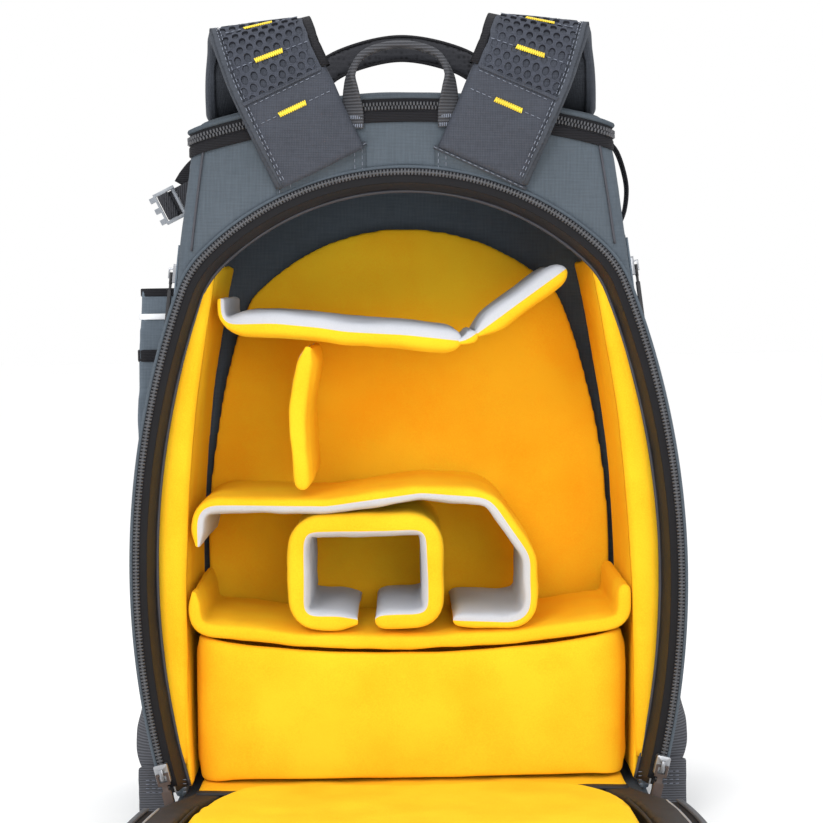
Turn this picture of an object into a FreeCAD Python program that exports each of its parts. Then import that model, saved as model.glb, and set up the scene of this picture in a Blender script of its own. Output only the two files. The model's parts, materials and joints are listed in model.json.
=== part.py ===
"""Camera backpack with a full rear door, drawn standing on its base with the door open on the floor.

Frame: +Z up, -Y towards the wearer's back (the side that opens), origin in the middle of the base.
Every curved wall is a set of concentric arcs, so an offset only changes their radii.
"""
import FreeCAD, Part
import math
import os
from FreeCAD import Placement, Rotation, Vector

DIMENSIONS = [
    # opening outline
    ("side_reach", 196, "half width of the opening at its widest"),
    ("side_level", 185, "height of the widest point"),
    ("side_radius", 600, "radius of the opening's sides"),
    ("crown_radius", 204, "radius of the arched top"),
    ("crown_top", 477, "height of the arch"),
    ("shoulder_radius", 70, "radius between side and arch"),
    ("sill", 32, "height of the door hinge line"),
    # outer case
    ("case_reach", 179, "half width of the case at its widest"),
    ("case_level", 150, "height of the case's widest point"),
    ("case_radius", 2200, "radius of the case's sides"),
    ("lid_top", 536, "height of the lid at its middle"),
    ("lid_radius", 540, "radius of the arched lid"),
    ("lid_skirt", 9, "height of the lid's edge above its zip seam"),
    ("foot_corner", 30, "radius of the lower corners"),
    ("head_corner", 14, "radius of the upper corners"),
    ("front_round", 12, "rounding of the front edges"),
    ("back_round", 16, "rounding of the back edges"),
    ("back_face", 115, "distance from the origin to the yoke face"),
    ("front_face", 105, "distance from the origin to the front face"),
    ("wall", 8, "padded wall"),
    ("base_height", 22, "padded base block"),
    ("floor_pad", 7.7, "padded floor of the compartment"),
    ("yoke_low", 352, "lower edge of the yoke's side returns"),
    ("seam_gap", 0.3, "clearance between separate pieces"),
    # black gusset round the opening
    ("gusset_depth", 23, "depth of the sloping gusset"),
    ("gusset_slope", 10, "how far the gusset leans inwards"),
    ("gusset_wall", 4.5, "thickness of the gusset"),
    # zips
    ("chain_width", 4.5, "width of a zip chain"),
    ("chain_height", 3, "height of a zip chain"),
    ("slider_length", 14, "zip slider body"),
    ("slider_width", 10, "zip slider body"),
    ("slider_roof", 1.5, "roof over the zip chain"),
    ("puller_width", 9, "eye of a puller"),
    ("grip_length", 34, "moulded grip of a puller"),
    ("side_zip_low", 110, "lower end of the side access zip"),
    ("side_zip_high", 425, "upper end of the side access zip"),
    ("side_slider_level", 408, "side slider at rest"),
    ("door_slider_level", 47, "door slider at rest"),
    # lining
    ("liner_thick", 4.5, "lining pad"),
    ("liner_depth", 165, "depth of the side lining"),
    ("liner_top", 415, "upper end of the side lining"),
    # dividers
    ("divider_thick", 10, "middle and lower shelves, and the cover over the bottom bay"),
    ("upright_thick", 12, "upright divider"),
    ("shelf_thick", 17.5, "upper shelf"),
    ("flap_thick", 15, "flap that folds up from the upper shelf"),
    ("cell_wall", 14, "padded wall of the lens cell"),
    ("divider_depth", 150, "depth of the dividers"),
    ("divider_front", 88, "distance from the origin to the dividers' front edges"),
    ("base_box_height", 93, "height of the padded cover over the bottom bay"),
    ("tab_thick", 4, "hook and loop end tab"),
    # door
    ("door_gap", 4, "gap between the door and the yoke face"),
    ("door_lining", 14, "padded inner face of the door"),
    ("door_inset", 5.5, "how far the door stays inside the zip line"),
    ("door_rim", 30, "width of the door's black rim"),
    ("stiffener_thick", 1.7, "plastic sheet inside the door"),
    ("door_cover", 7.7, "outer cover of the door"),
    ("door_corner_rise", 44, "height of the door's cut lower corners"),
    ("door_foot", 157, "half width of the door at the hinge"),
    # harness
    ("strap_thick", 13, "shoulder strap pad"),
    ("strap_width", 70, "shoulder strap pad"),
    ("webbing_width", 20, "strap webbing"),
    ("webbing_thick", 2, "strap webbing"),
    ("pocket_wall", 3, "wall of the side pockets"),
    ("pouch_depth", 25.7, "how far the front pocket stands out"),
    ("pocket_zip_level", 350, "height of the front pocket's zip"),
    ("carry_width", 13, "webbing of the carry handle"),
    ("grab_thick", 12, "padded grab handle"),
    ("lid_split", 465, "above this level the lid's round seam divides the case"),
    ("buckle_width", 25, "compression buckle"),
    ("buckle_length", 17, "compression buckle without its prongs"),
    ("buckle_thick", 6, "compression buckle"),
    ("buckle_bar", 3, "round bar that the webbing pulls on"),
    ("buckle_tilt", 64, "angle between the webbing's pull and the vertical, in degrees"),
]

doc = FreeCAD.newDocument("camera_backpack")
sheet = doc.addObject("Spreadsheet::Sheet", "Dimensions")
for row, (alias, value, note) in enumerate(DIMENSIONS, 1):
    sheet.set(f"A{row}", note)
    sheet.set(f"B{row}", str(value))
    sheet.setAlias(f"B{row}", alias)
doc.recompute()
parts = []


def size(alias):
    """A driving dimension, read from the spreadsheet."""
    return float(sheet.get(alias))


# ---------------------------------------------------------------- outlines in the X-Z plane
def on_arc(centre, radius, level, side):
    """The point of a circle at a height, on its right (1) or left (-1)."""
    rise = level - centre[1]
    return Vector(centre[0] + side * math.sqrt(radius**2 - rise**2), level, 0)


def tangent_centre(first, second, radius):
    """Centre of the rounding circle that touches two circles (x, z, radius) from inside, on the right."""
    (ax, az, ar), (bx, bz, br) = first, second
    ra, rb = ar - radius, br - radius
    gap = math.hypot(bx - ax, bz - az)
    along = (ra**2 - rb**2 + gap**2) / (2 * gap)
    across = math.sqrt(ra**2 - along**2)
    ux, uz = (bx - ax) / gap, (bz - az) / gap
    options = [(ax + along * ux - s * across * uz, az + along * uz + s * across * ux) for s in (1, -1)]
    return max(options, key=lambda p: p[0] + p[1])


def toward(start, through, radius):
    """The point at a distance from start in the direction of through."""
    step = Vector(through[0] - start[0], through[1] - start[1], 0).normalize()
    return Vector(start[0], start[1], 0) + step * radius


def arc_through(centre, radius, start, end):
    """The short arc of a circle between two of its points."""
    centre = Vector(centre[0], centre[1], 0)
    middle = centre + ((start + end) * 0.5 - centre).normalize() * radius
    return Part.Arc(start, middle, end)


def middle_of(curve):
    return curve.value((curve.FirstParameter + curve.LastParameter) / 2)


def mirrored(point):
    return Vector(-point.x, point.y, 0)


def mirror_arcs(arcs):
    """The same arcs on the other side, in reverse order so that they still join up."""
    return [Part.Arc(mirrored(c.EndPoint), mirrored(middle_of(c)), mirrored(c.StartPoint))
            for c in reversed(arcs)]


OPENING_SIDE = (size("side_reach") - size("side_radius"), size("side_level"))
OPENING_CROWN = (0, size("crown_top") - size("crown_radius"))
OPENING_SHOULDER = tangent_centre(
    (*OPENING_CROWN, size("crown_radius")), (*OPENING_SIDE, size("side_radius")), size("shoulder_radius")
)
CASE_SIDE = (size("case_reach") - size("case_radius"), size("case_level"))
CASE_LID = (0, size("lid_top") - size("lid_radius"))
CASE_HEAD = tangent_centre(
    (*CASE_LID, size("lid_radius")), (*CASE_SIDE, size("case_radius")), size("head_corner")
)


def arch(grow, low):
    """The opening's outline, grown outwards, as curves from the left foot over the top to the right foot."""
    side, crown = size("side_radius") + grow, size("crown_radius") + grow
    shoulder = size("shoulder_radius") + grow
    foot = on_arc(OPENING_SIDE, side, low, 1)
    waist = toward(OPENING_SIDE, OPENING_SHOULDER, side)
    brow = toward(OPENING_CROWN, OPENING_SHOULDER, crown)
    right = [
        arc_through(OPENING_CROWN, crown, Vector(0, OPENING_CROWN[1] + crown, 0), brow),
        arc_through(OPENING_SHOULDER, shoulder, brow, waist),
        arc_through(OPENING_SIDE, side, waist, foot),
    ]
    return mirror_arcs(right) + right


def closed(curves):
    """Curves in order, closed with a straight line."""
    return curves + [Part.LineSegment(curves[-1].EndPoint, curves[0].StartPoint)]


def reverse(curves):
    flipped = []
    for c in reversed(curves):
        if isinstance(c, Part.LineSegment):
            flipped.append(Part.LineSegment(c.EndPoint, c.StartPoint))
        else:
            flipped.append(Part.Arc(c.EndPoint, middle_of(c), c.StartPoint))
    return flipped


def band(outer, inner):
    """A closed strip between two open runs of curves."""
    back = reverse(inner)
    return (
        outer
        + [Part.LineSegment(outer[-1].EndPoint, back[0].StartPoint)]
        + back
        + [Part.LineSegment(back[-1].EndPoint, outer[0].StartPoint)]
    )


def case_outline(grow):
    """The case's outline seen from the back, grown outwards."""
    side, lid = size("case_radius") + grow, size("lid_radius") + grow
    head, foot = size("head_corner") + grow, size("foot_corner") + grow
    foot_level = size("foot_corner")
    foot_centre = on_arc(CASE_SIDE, size("case_radius") - size("foot_corner"), foot_level, 1)
    foot_centre = (foot_centre.x, foot_centre.y)
    heel = Vector(foot_centre[0], foot_level - foot, 0)
    ankle = toward(CASE_SIDE, foot_centre, side)
    neck = toward(CASE_SIDE, CASE_HEAD, side)
    brow = toward(CASE_LID, CASE_HEAD, lid)
    right = [
        arc_through(foot_centre, foot, heel, ankle),
        arc_through(CASE_SIDE, side, ankle, neck),
        arc_through(CASE_HEAD, head, neck, brow),
        arc_through(CASE_LID, lid, brow, Vector(0, CASE_LID[1] + lid, 0)),
    ]
    return closed(right + mirror_arcs(right))


def round_bends(points, radius):
    """An open wire along points whose corners are arcs."""
    corners = [Vector(x, z, 0) for x, z in points]
    curves = []
    start = corners[0]
    for before, here, after in zip(corners, corners[1:], corners[2:]):
        a, b = (before - here).normalize(), (after - here).normalize()
        half = math.acos(max(-1, min(1, a.dot(b)))) / 2
        reach = radius / math.tan(half)
        reach = min(reach, (before - here).Length * 0.45, (after - here).Length * 0.45)
        r = reach * math.tan(half)
        centre = here + (a + b).normalize() * (r / math.sin(half))
        p, q = here + a * reach, here + b * reach
        curves.append(Part.LineSegment(start, p))
        middle = centre + (here - centre).normalize() * r
        curves.append(Part.Arc(p, middle, q))
        start = q
    curves.append(Part.LineSegment(start, corners[-1]))
    return curves


def thicken(curves, thick):
    """The closed outline at half the thickness on both sides of a smooth open run of lines and arcs."""
    sides = []
    for s in (1, -1):
        run = []
        for c in curves:
            t0, t1 = c.FirstParameter, c.LastParameter
            points = []
            for t in (t0, (t0 + t1) / 2, t1):
                tangent = c.tangent(t)[0]
                points.append(c.value(t) + Vector(-tangent.y, tangent.x, 0) * (s * thick / 2))
            if isinstance(c, Part.LineSegment):
                run.append(Part.LineSegment(points[0], points[2]))
            else:
                run.append(Part.Arc(*points))
        sides.append(run)
    return band(*sides)


def padded_strip(points, thick, bend):
    return thicken(round_bends(points, bend), thick)


def rectangle(x0, y0, x1, y1, corner=0):
    """A closed rectangle, with rounded corners if corner is given."""
    if not corner:
        p = [Vector(x0, y0, 0), Vector(x1, y0, 0), Vector(x1, y1, 0), Vector(x0, y1, 0)]
        return [Part.LineSegment(a, b) for a, b in zip(p, p[1:] + p[:1])]
    curves = []
    k = corner * (1 - math.sqrt(0.5))
    spots = [(x1, y0, 1, -1), (x1, y1, 1, 1), (x0, y1, -1, 1), (x0, y0, -1, -1)]
    for n, (x, y, sx, sy) in enumerate(spots):
        a = Vector(x - sx * corner, y, 0)
        b = Vector(x, y - sy * corner, 0)
        middle = Vector(x - sx * k, y - sy * k, 0)
        curves.append(Part.Arc(a, middle, b) if n % 2 == 0 else Part.Arc(b, middle, a))
    joined = []
    for here, after in zip(curves, curves[1:] + curves[:1]):
        joined += [here, Part.LineSegment(here.EndPoint, after.StartPoint)]
    return joined


# ---------------------------------------------------------------- making sub-parts
def standing(y):
    """Placement of a profile drawn in X-Z; its pad grows from y towards the wearer."""
    return Placement(Vector(0, y, 0), Rotation(Vector(1, 0, 0), 90))


def lying(z):
    """Placement of a profile drawn in X-Y at height z, growing up."""
    return Placement(Vector(0, 0, z), Rotation())


def opened(z):
    """Placement of a door layer: its closed outline turned down on to the floor, growing down from z."""
    hinge = -size("back_face") - size("door_gap")
    return Placement(Vector(0, hinge + size("sill"), z), Rotation(Vector(1, 0, 0), 180))


def new_body(label, placement):
    body = doc.addObject("PartDesign::Body", label)
    body.Label = label
    body.Placement = placement
    parts.append(body)
    return body


def draw(body, curves, plane="XY_Plane"):
    """A sketch of curves on one of the body's own planes, with its corners joined."""
    sketch = body.newObject("Sketcher::SketchObject", body.Name + "_sketch")
    origin = next(f for f in body.Origin.OriginFeatures if f.Role == plane)
    sketch.AttachmentSupport = [(origin, "")]
    sketch.MapMode = "FlatFace"
    sketch.addGeometry(curves, False)
    return sketch


def pad(body, curves, length, plane="XY_Plane", both=False, flip=False):
    """Pads a sketch by a spreadsheet length or formula."""
    feature = body.newObject("PartDesign::Pad", body.Name + "_pad")
    feature.Profile = draw(body, curves, plane)
    feature.setExpression("Length", length)
    feature.Midplane = both
    feature.Reversed = flip
    return feature


def pocket(body, curves, plane="XY_Plane"):
    """Cuts a sketch right through the body."""
    feature = body.newObject("PartDesign::Pocket", body.Name + "_pocket")
    feature.Profile = draw(body, curves, plane)
    feature.Type = 1
    feature.Midplane = True
    return feature


def slab(label, curves, length, placement, holes=()):
    """A padded profile with optional through holes."""
    body = new_body(label, placement)
    pad(body, curves, length)
    for hole in holes:
        pocket(body, hole)
    return body


def solid(label, shape, placement=None):
    """A sub-part whose shape is worked out with Part's own functions."""
    feature = doc.addObject("Part::Feature", label)
    feature.Label = label
    feature.Shape = shape
    if placement is not None:
        feature.Placement = placement
    parts.append(feature)
    return feature


def prism(curves, y_front, y_back):
    """A solid between two depths from a closed X-Z outline."""
    wire = Part.Wire([c.toShape() for c in curves])
    wire.Placement = Placement(Vector(0, y_back, 0), Rotation(Vector(1, 0, 0), 90))
    return Part.Face(wire).extrude(Vector(0, y_front - y_back, 0))


def box(x0, x1, y0, y1, z0, z1):
    return Part.makeBox(x1 - x0, y1 - y0, z1 - z0, Vector(x0, y0, z0))


def ribbon(stations):
    """A flat strap through stations (centre, width direction, width, thickness)."""
    wires = []
    for n, (centre, across, width, thick) in enumerate(stations):
        before = stations[max(n - 1, 0)][0]
        after = stations[min(n + 1, len(stations) - 1)][0]
        along = (Vector(*after) - Vector(*before)).normalize()
        across = Vector(*across)
        across = (across - along * across.dot(along)).normalize()
        normal = along.cross(across)
        u, v = across * (width / 2), normal * (thick / 2)
        c = Vector(*centre)
        wires.append(Part.makePolygon([c - u - v, c + u - v, c + u + v, c - u + v, c - u - v]))
    return Part.makeLoft(wires, True, True)


BACK, FRONT, WALL = -size("back_face"), size("front_face"), size("wall")
GAP = size("seam_gap")
FAR = 400  # beyond the bag in every direction
SIDES = (("left", -1), ("right", 1))


# ---------------------------------------------------------------- case
def rounded_block(grow, back, front, back_radius, front_radius):
    """The case's outline as a solid block with rounded back and front edges."""
    block = prism(case_outline(grow), front, back)
    for level, radius in ((back, back_radius), (front, front_radius)):
        rim = [e for e in block.Edges if all(abs(v.Y - level) < 1e-6 for v in e.Vertexes)
               and abs(e.CenterOfMass.y - level) < 1e-6]
        block = block.makeFillet(radius, rim)
    return block


def make_case():
    """Front, side, base and lid panels: one hollow rounded block, split along its seams."""
    rounding = size("front_round")
    outer = rounded_block(0, BACK, FRONT, size("back_round"), rounding)
    inner = rounded_block(-WALL, BACK + WALL, FRONT - WALL, size("back_round") - 6, rounding - 4)
    shell = outer.cut(inner)
    seam = size("lid_radius") - size("lid_skirt")
    drum = Part.makeCylinder(seam, 2 * FAR, Vector(CASE_LID[0], -FAR, CASE_LID[1]), Vector(0, 1, 0))
    base_top, level = size("base_height"), size("lid_split")
    lid_region = box(-FAR, FAR, -FAR, FAR, level, 2 * FAR).cut(drum)
    wall_region = box(-FAR, FAR, -FAR, FAR, base_top, level).fuse(
        box(-FAR, FAR, -FAR, FAR, level, 2 * FAR).common(drum))
    split = FRONT - rounding - 10
    solid("lid_panel", shell.common(lid_region))
    solid("front_panel", shell.common(wall_region).common(box(-FAR, FAR, split, FAR, 0, FAR * 2)))
    solid("base_panel", outer.common(box(-FAR, FAR, -FAR, FAR, -1, base_top)))
    start = BACK + size("gusset_depth")
    for side, sign in SIDES:
        region = box(min(0, sign * FAR), max(0, sign * FAR), start, split, 0, FAR * 2)
        solid(f"{side}_side_panel", shell.common(wall_region).common(region))
    return outer, wall_region


def make_yoke(outer, wall_region):
    """Upper back panel that carries the harness: a plate with returns down both sides."""
    outline = arch(size("chain_width") - 1, size("sill") - 20)
    hole = prism(closed(outline), FAR, -FAR)
    back = BACK + size("gusset_depth")
    shell = outer.cut(rounded_block(-WALL, BACK + WALL, FAR, size("back_round") - 6, 4))
    yoke = shell.common(wall_region).common(box(-FAR, FAR, -FAR, back, size("yoke_low"), 2 * FAR))
    solid("yoke_panel", yoke.cut(hole))


def make_gusset():
    """Sloping black gusset between the zip and the compartment, open at the sill."""
    slope, thick = size("gusset_slope"), size("gusset_wall")
    sill, depth = size("sill"), size("gusset_depth")

    def cone(front_grow, back_grow, low, over):
        wires = []
        for y, grow in ((BACK - over, front_grow), (BACK + depth + over, back_grow)):
            wire = Part.Wire([c.toShape() for c in closed(arch(grow, low))])
            wire.Placement = Placement(Vector(0, y, 0), Rotation(Vector(1, 0, 0), 90))
            wires.append(wire)
        return Part.makeLoft(wires, True, True)

    solid("opening_gusset", cone(0, -slope, sill, 0).cut(cone(-thick, -slope - thick, sill - 10, 0.01)))


def make_chains(outer):
    """Zip chains: door zip on the case, door zip on the door, lid zip, side access zips."""
    width = size("chain_width")
    low = size("sill") + 3
    slab("door_zip_case_half", band(arch(width - 1.5, low), arch(-1.5, low)), "Dimensions.chain_height",
         standing(BACK - GAP))
    rise = size("sill") + size("door_corner_rise") + 2
    slab("door_zip_door_half", band(arch(width - 1.5, rise), arch(-size("door_inset"), rise)),
         "Dimensions.chain_height", opened(size("sill")))
    seam = size("lid_radius") - size("lid_skirt")
    height = size("chain_height")
    ring = Part.makeCylinder(seam, 2 * FAR, Vector(0, -FAR, CASE_LID[1]), Vector(0, 1, 0)).cut(
        Part.makeCylinder(seam - width, 2 * FAR, Vector(0, -FAR, CASE_LID[1]), Vector(0, 1, 0)))
    ring = ring.common(box(-FAR, FAR, -FAR, FAR, 480, FAR * 2))
    skin = rounded_block(height, BACK - height, FAR, size("back_round") + height, 4).cut(
        rounded_block(0, BACK, FAR, size("back_round"), 4)).common(box(-FAR, FAR, -FAR, 85, 0, 2 * FAR))
    solid("lid_zip_chain", skin.common(ring))
    for side, sign in SIDES:
        runs = []
        for grow in (height + GAP, GAP):
            radius = size("case_radius") + grow
            start = on_arc(CASE_SIDE, radius, size("side_zip_low"), 1)
            end = on_arc(CASE_SIDE, radius, size("side_zip_high"), 1)
            run = [arc_through(CASE_SIDE, radius, start, end)]
            runs.append(run if sign > 0 else mirror_arcs(run))
        slab(f"{side}_side_zip_chain", band(*runs), "Dimensions.chain_width", standing(-75))


def make_lining():
    """Yellow padded lining: sides, front wall and floor of the compartment."""
    thick = size("liner_thick")
    low = size("base_height") + GAP + size("floor_pad") + GAP
    outer_radius = size("case_radius") - WALL - 1
    upper_radius = 1200
    level = size("case_level")
    for side, sign in SIDES:
        runs = []
        for inset in (0, thick):
            lower = outer_radius - inset
            upper = upper_radius - inset
            upper_centre = (CASE_SIDE[0] + outer_radius - upper_radius, level)
            waist = Vector(CASE_SIDE[0] + lower, level, 0)
            run = [
                arc_through(CASE_SIDE, lower, on_arc(CASE_SIDE, lower, low, 1), waist),
                arc_through(upper_centre, upper, waist, on_arc(upper_centre, upper, size("liner_top"), 1)),
            ]
            runs.append(run if sign > 0 else mirror_arcs(run))
        slab(f"{side}_lining", band(*runs), "Dimensions.liner_depth", standing(75))
    slab("front_lining", closed(arch(-34, low)), "Dimensions.liner_thick", standing(80.5))
    slab("floor_lining", rectangle(-157, BACK + 0.5, 157, 74, 8), "Dimensions.floor_pad",
         lying(size("base_height") + GAP))


# ---------------------------------------------------------------- dividers
def make_dividers():
    """Hook and loop dividers: shelves, an upright, a lens cell and the cover over the bottom bay."""
    thick, shelf_thick = size("divider_thick"), size("shelf_thick")
    front = -size("divider_front")
    place = standing(front + size("divider_depth"))
    depth = "Dimensions.divider_depth"
    tab = size("tab_thick")
    shelf = new_body("upper_shelf", place)
    pad(shelf, padded_strip([(-133, 371), (-44, 364), (42, 355)], shelf_thick, 60), depth)
    low = 371 - shelf_thick / 2
    pad(shelf, rectangle(-138, low, -138 + tab, 389), depth)
    pad(shelf, rectangle(-138, low + 1, -130, low + shelf_thick - 3), depth)
    slab("upper_shelf_flap", padded_strip([(52, 360), (86, 384), (119, 407)], size("flap_thick"), 200),
         depth, place)
    slab("upright_divider", padded_strip([(-70, 354), (-79, 305), (-76, 248)], size("upright_thick"), 120),
         depth, place)
    slab("middle_shelf", padded_strip(
        [(-156.5, 207), (-156.5, 238), (-60, 236), (10, 244), (62, 240), (91, 196), (89, 147), (30, 150)],
        thick, 18), depth, place)
    slab("lower_shelf", padded_strip(
        [(-159, 176), (-159, 148), (-80, 137), (0, 133), (80, 137), (159, 148), (159, 176)],
        thick, 12), depth, place)
    slab("lens_cell", padded_strip(
        [(-37, 150), (-81.5, 150), (-81.5, 221), (17.5, 221), (17.5, 150), (-27, 150)],
        size("cell_wall"), 14), depth, place)
    slab("base_box", padded_strip([(-155, 70), (-155, -81), (155, -81), (155, 70)], thick, 14),
         "Dimensions.base_box_height", lying(size("sill") + 1))


# ---------------------------------------------------------------- door
def door_outline(grow, foot, low):
    """The door's closed outline: the opening's arch with cut lower corners that clear the sliders."""
    rise = size("sill") + size("door_corner_rise")
    run = arch(grow, rise)
    right = run[-1].EndPoint
    corners = [right, Vector(foot, low, 0), Vector(-foot, low, 0), run[0].StartPoint]
    return run + [Part.LineSegment(a, b) for a, b in zip(corners, corners[1:])]


def make_door():
    """Rear door in layers: rim, yellow lining, stiffener, outer cover and back pads, lying open."""
    sill, foot = size("sill"), size("door_foot")
    hem = sill + GAP
    rim = new_body("door_rim", opened(sill))
    pad(rim, door_outline(-size("door_inset"), foot, hem), "Dimensions.door_lining")
    pocket(rim, door_outline(-size("door_rim"), foot - 26, hem - 10))
    slab("door_lining_pad", door_outline(-size("door_rim") - GAP, foot - 26 - 2 * GAP, hem),
         "Dimensions.door_lining", opened(sill))
    level = sill - size("door_lining") - GAP / 3
    slab("door_stiffener", door_outline(-size("door_inset") - 8, foot - 8, hem + 4),
         "Dimensions.stiffener_thick", opened(level))
    level -= size("stiffener_thick") + GAP / 3
    slab("door_outer_cover", door_outline(-size("door_inset") - 1, foot - 1, hem),
         "Dimensions.door_cover", opened(level))
    level -= size("door_cover") + GAP / 3
    pads = new_body("door_back_pads", opened(level))
    reach = ("Dimensions.sill - Dimensions.door_lining - Dimensions.stiffener_thick"
             " - Dimensions.door_cover - Dimensions.seam_gap")
    rows = ((-132, -12, 70, 200), (12, 132, 70, 200), (-128, -12, 214, 330), (12, 128, 214, 330),
            (-96, 96, 344, 440))
    for x0, x1, z0, z1 in rows:
        pad(pads, rectangle(x0, z0, x1, z1, 22), reach)


# ---------------------------------------------------------------- zip sliders
def slider_shape(chains, open_side, clear):
    """Zip slider: local X across, Y along the travel, Z away from the case; it spans one or two chains.

    open_side is the side (1 or -1) where the tape of the second chain passes, or 0 for none.
    """
    width, length = size("slider_width"), size("slider_length")
    inner = size("chain_width") / 2 + clear
    roof = size("chain_height") * chains + clear + (chains - 1) * 0.7
    top = roof + size("slider_roof")
    body = box(-width / 2, width / 2, -length / 2, length / 2, 0.1, top)
    reach = width if open_side else inner
    low, high = (-reach, inner) if open_side < 0 else (-inner, reach)
    body = body.cut(box(low, high, -length, length, -1, roof))
    body = body.makeFillet(1.2, [e for e in body.Edges if abs(abs(e.CenterOfMass.x) - width / 2) < 1e-6
                                 and abs(abs(e.CenterOfMass.y) - length / 2) < 1e-6])
    bridge = box(-1.3, 1.3, -4, 4, top - 0.2, top + 3.6).cut(box(-2, 2, -2.6, 2.6, top, top + 2.7))
    return body.fuse(bridge).removeSplitter(), top + 1.45


def puller_shape(level, grip):
    """Puller hanging from the slider's bridge along -Y at its pin's level, with a moulded grip."""
    width, bar = size("puller_width"), 0.8
    eye = box(-width / 2, width / 2, -8, bar, level - bar, level + bar).cut(
        box(-2.9, 2.9, -5.6, -bar, level - 2, level + 2))
    stem = box(-2, 2, -14, -8, level - bar, level + bar)
    handle = box(-3.5, 3.5, -14 - grip, -12, level - 1.3, level + 1.3)
    handle = handle.makeFillet(1.2, [e for e in handle.Edges if abs(abs(e.CenterOfMass.x) - 3.5) < 1e-6
                                     and abs(e.CenterOfMass.z - level) < 1e-6])
    return eye.fuse(stem).fuse(handle).removeSplitter()


def frame_at(point, along, outward):
    """Placement with local Y along the travel and local Z outward."""
    along, outward = Vector(*along).normalize(), Vector(*outward).normalize()
    across = along.cross(outward)
    return Placement(Vector(*point), Rotation(across, along, outward, "ZXY"))


def make_sliders():
    """Every zip slider with its puller, placed on its chain."""
    spots = {}
    grip = size("grip_length")
    middle = size("chain_width") / 2
    radius = size("side_radius") + middle - 1.5
    level = size("door_slider_level")
    edge = on_arc(OPENING_SIDE, radius, level, 1).x
    for side, sign in SIDES:
        along = (-(level - OPENING_SIDE[1]) * sign, 0, edge - OPENING_SIDE[0])
        spots[f"{side}_door"] = (2, sign, (sign * edge, BACK - GAP, level), along, (0, -1, 0), grip * 0.35)
    level = size("side_slider_level")
    edge = on_arc(CASE_SIDE, size("case_radius") + GAP, level, 1).x
    for side, sign in SIDES:
        along = (-(level - CASE_SIDE[1]) * sign, 0, edge - CASE_SIDE[0])
        out = ((edge - CASE_SIDE[0]) * sign, 0, level - CASE_SIDE[1])
        spots[f"{side}_side"] = (1, 0, (sign * edge, -75 - middle, level), along, out, grip)
    pouch_front = FRONT + GAP + size("pouch_depth") + GAP
    start = (-84, pouch_front, size("pocket_zip_level"))
    spots["front_pocket"] = (1, 0, start, (-1, 0, 0), (0, 1, 0), grip * 0.6)
    seam = size("lid_radius") - size("lid_skirt") - middle
    reach = on_arc(CASE_SIDE, size("case_radius"), size("lid_top") - 33, 1).x
    level = CASE_LID[1] + math.sqrt(seam**2 - reach**2)
    edge = on_arc(CASE_SIDE, size("case_radius"), level, 1).x
    spots["lid"] = (1, 0, (edge + 1.2, 60, level), (0, -1, 0), (1, 0, 0), grip * 0.6)
    for name, (chains, open_side, point, along, outward, grip) in spots.items():
        place = frame_at(point, along, outward)
        body, axis = slider_shape(chains, open_side, 1.6 if name == "lid" else 0.5)
        solid(f"{name}_slider", body, place)
        solid(f"{name}_puller", puller_shape(axis, grip), place)
        print(name, [round(v, 2) for v in place.multVec(Vector(0, 0, axis))],
              [round(v, 4) for v in place.Rotation.multVec(Vector(1, 0, 0))])


# ---------------------------------------------------------------- harness, handles and pockets
def strap_stations(sign):
    """Shoulder strap: from the yoke up past the lid, folded over and down the front."""
    w, t = size("strap_width"), size("strap_thick")
    lean = (0.906, 0, 0.42)
    raw = [
        ((-57, -119.7, 481), lean, w, 9),
        ((-66, -123, 500), lean, w, t - 2),
        ((-77, -127, 524), lean, w, t),
        ((-89, -126, 551), (0.93, 0, 0.36), w, t),
        ((-96, -116, 570), (0.96, 0, 0.25), w, t),
        ((-101, -100, 580), (0.98, 0, 0.15), w, t),
        ((-105, -82, 579), (1, 0, 0.1), w - 2, t),
        ((-108, -66, 567), (1, 0, 0.14), w - 4, t),
        ((-111, -54, 549), (1, 0, 0.2), w - 4, t),
        ((-114, -38, 537.5), (1, 0, 0.24), w - 6, t),
        ((-116, -10, 534.5), (1, 0, 0.24), w - 6, t),
        ((-118, 60, 534), (1, 0, 0.24), w - 6, t),
        ((-119, 92, 533), (1, 0, 0.2), w - 6, t),
        ((-119, 110, 524), (1, 0, 0.1), w - 6, t),
        ((-119, 117, 505), (1, 0, 0), w - 6, t),
        ((-119, 116, 470), (1, 0, 0), w - 10, t),
        ((-119, 115, 425), (1, 0, 0), w - 24, t - 3),
    ]
    return [((-sign * c[0], c[1], c[2]), (a[0], a[1], -sign * a[2]), width, thick)
            for c, a, width, thick in raw]


def webbing_stations(sign):
    """Adjuster webbing: from the strap's end round the side to the wing at the base."""
    w, t = size("webbing_width"), size("webbing_thick")
    raw = [
        ((-120, 114, 396), (1, 0, 0)),
        ((-138, 112, 372), (0.98, 0.2, 0)),
        ((-168, 112, 342), (0.9, 0.45, 0)),
        ((-185, 103, 316), (0.5, 0.86, 0)),
        ((-197, 84, 278), (0.2, 0.98, 0)),
        ((-204.5, 52, 214), (0, 1, 0)),
        ((-204, 10, 148), (0, 1, 0)),
        ((-202, -35, 100), (0, 1, 0)),
        ((-199, -72, 72), (-0.5, 0.86, 0)),
        ((-191, -94, 53), (-0.95, 0.3, 0)),
    ]
    return [((-sign * c[0], c[1], c[2]), (-sign * a[0], a[1], a[2]), w, t) for c, a in raw]


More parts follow.
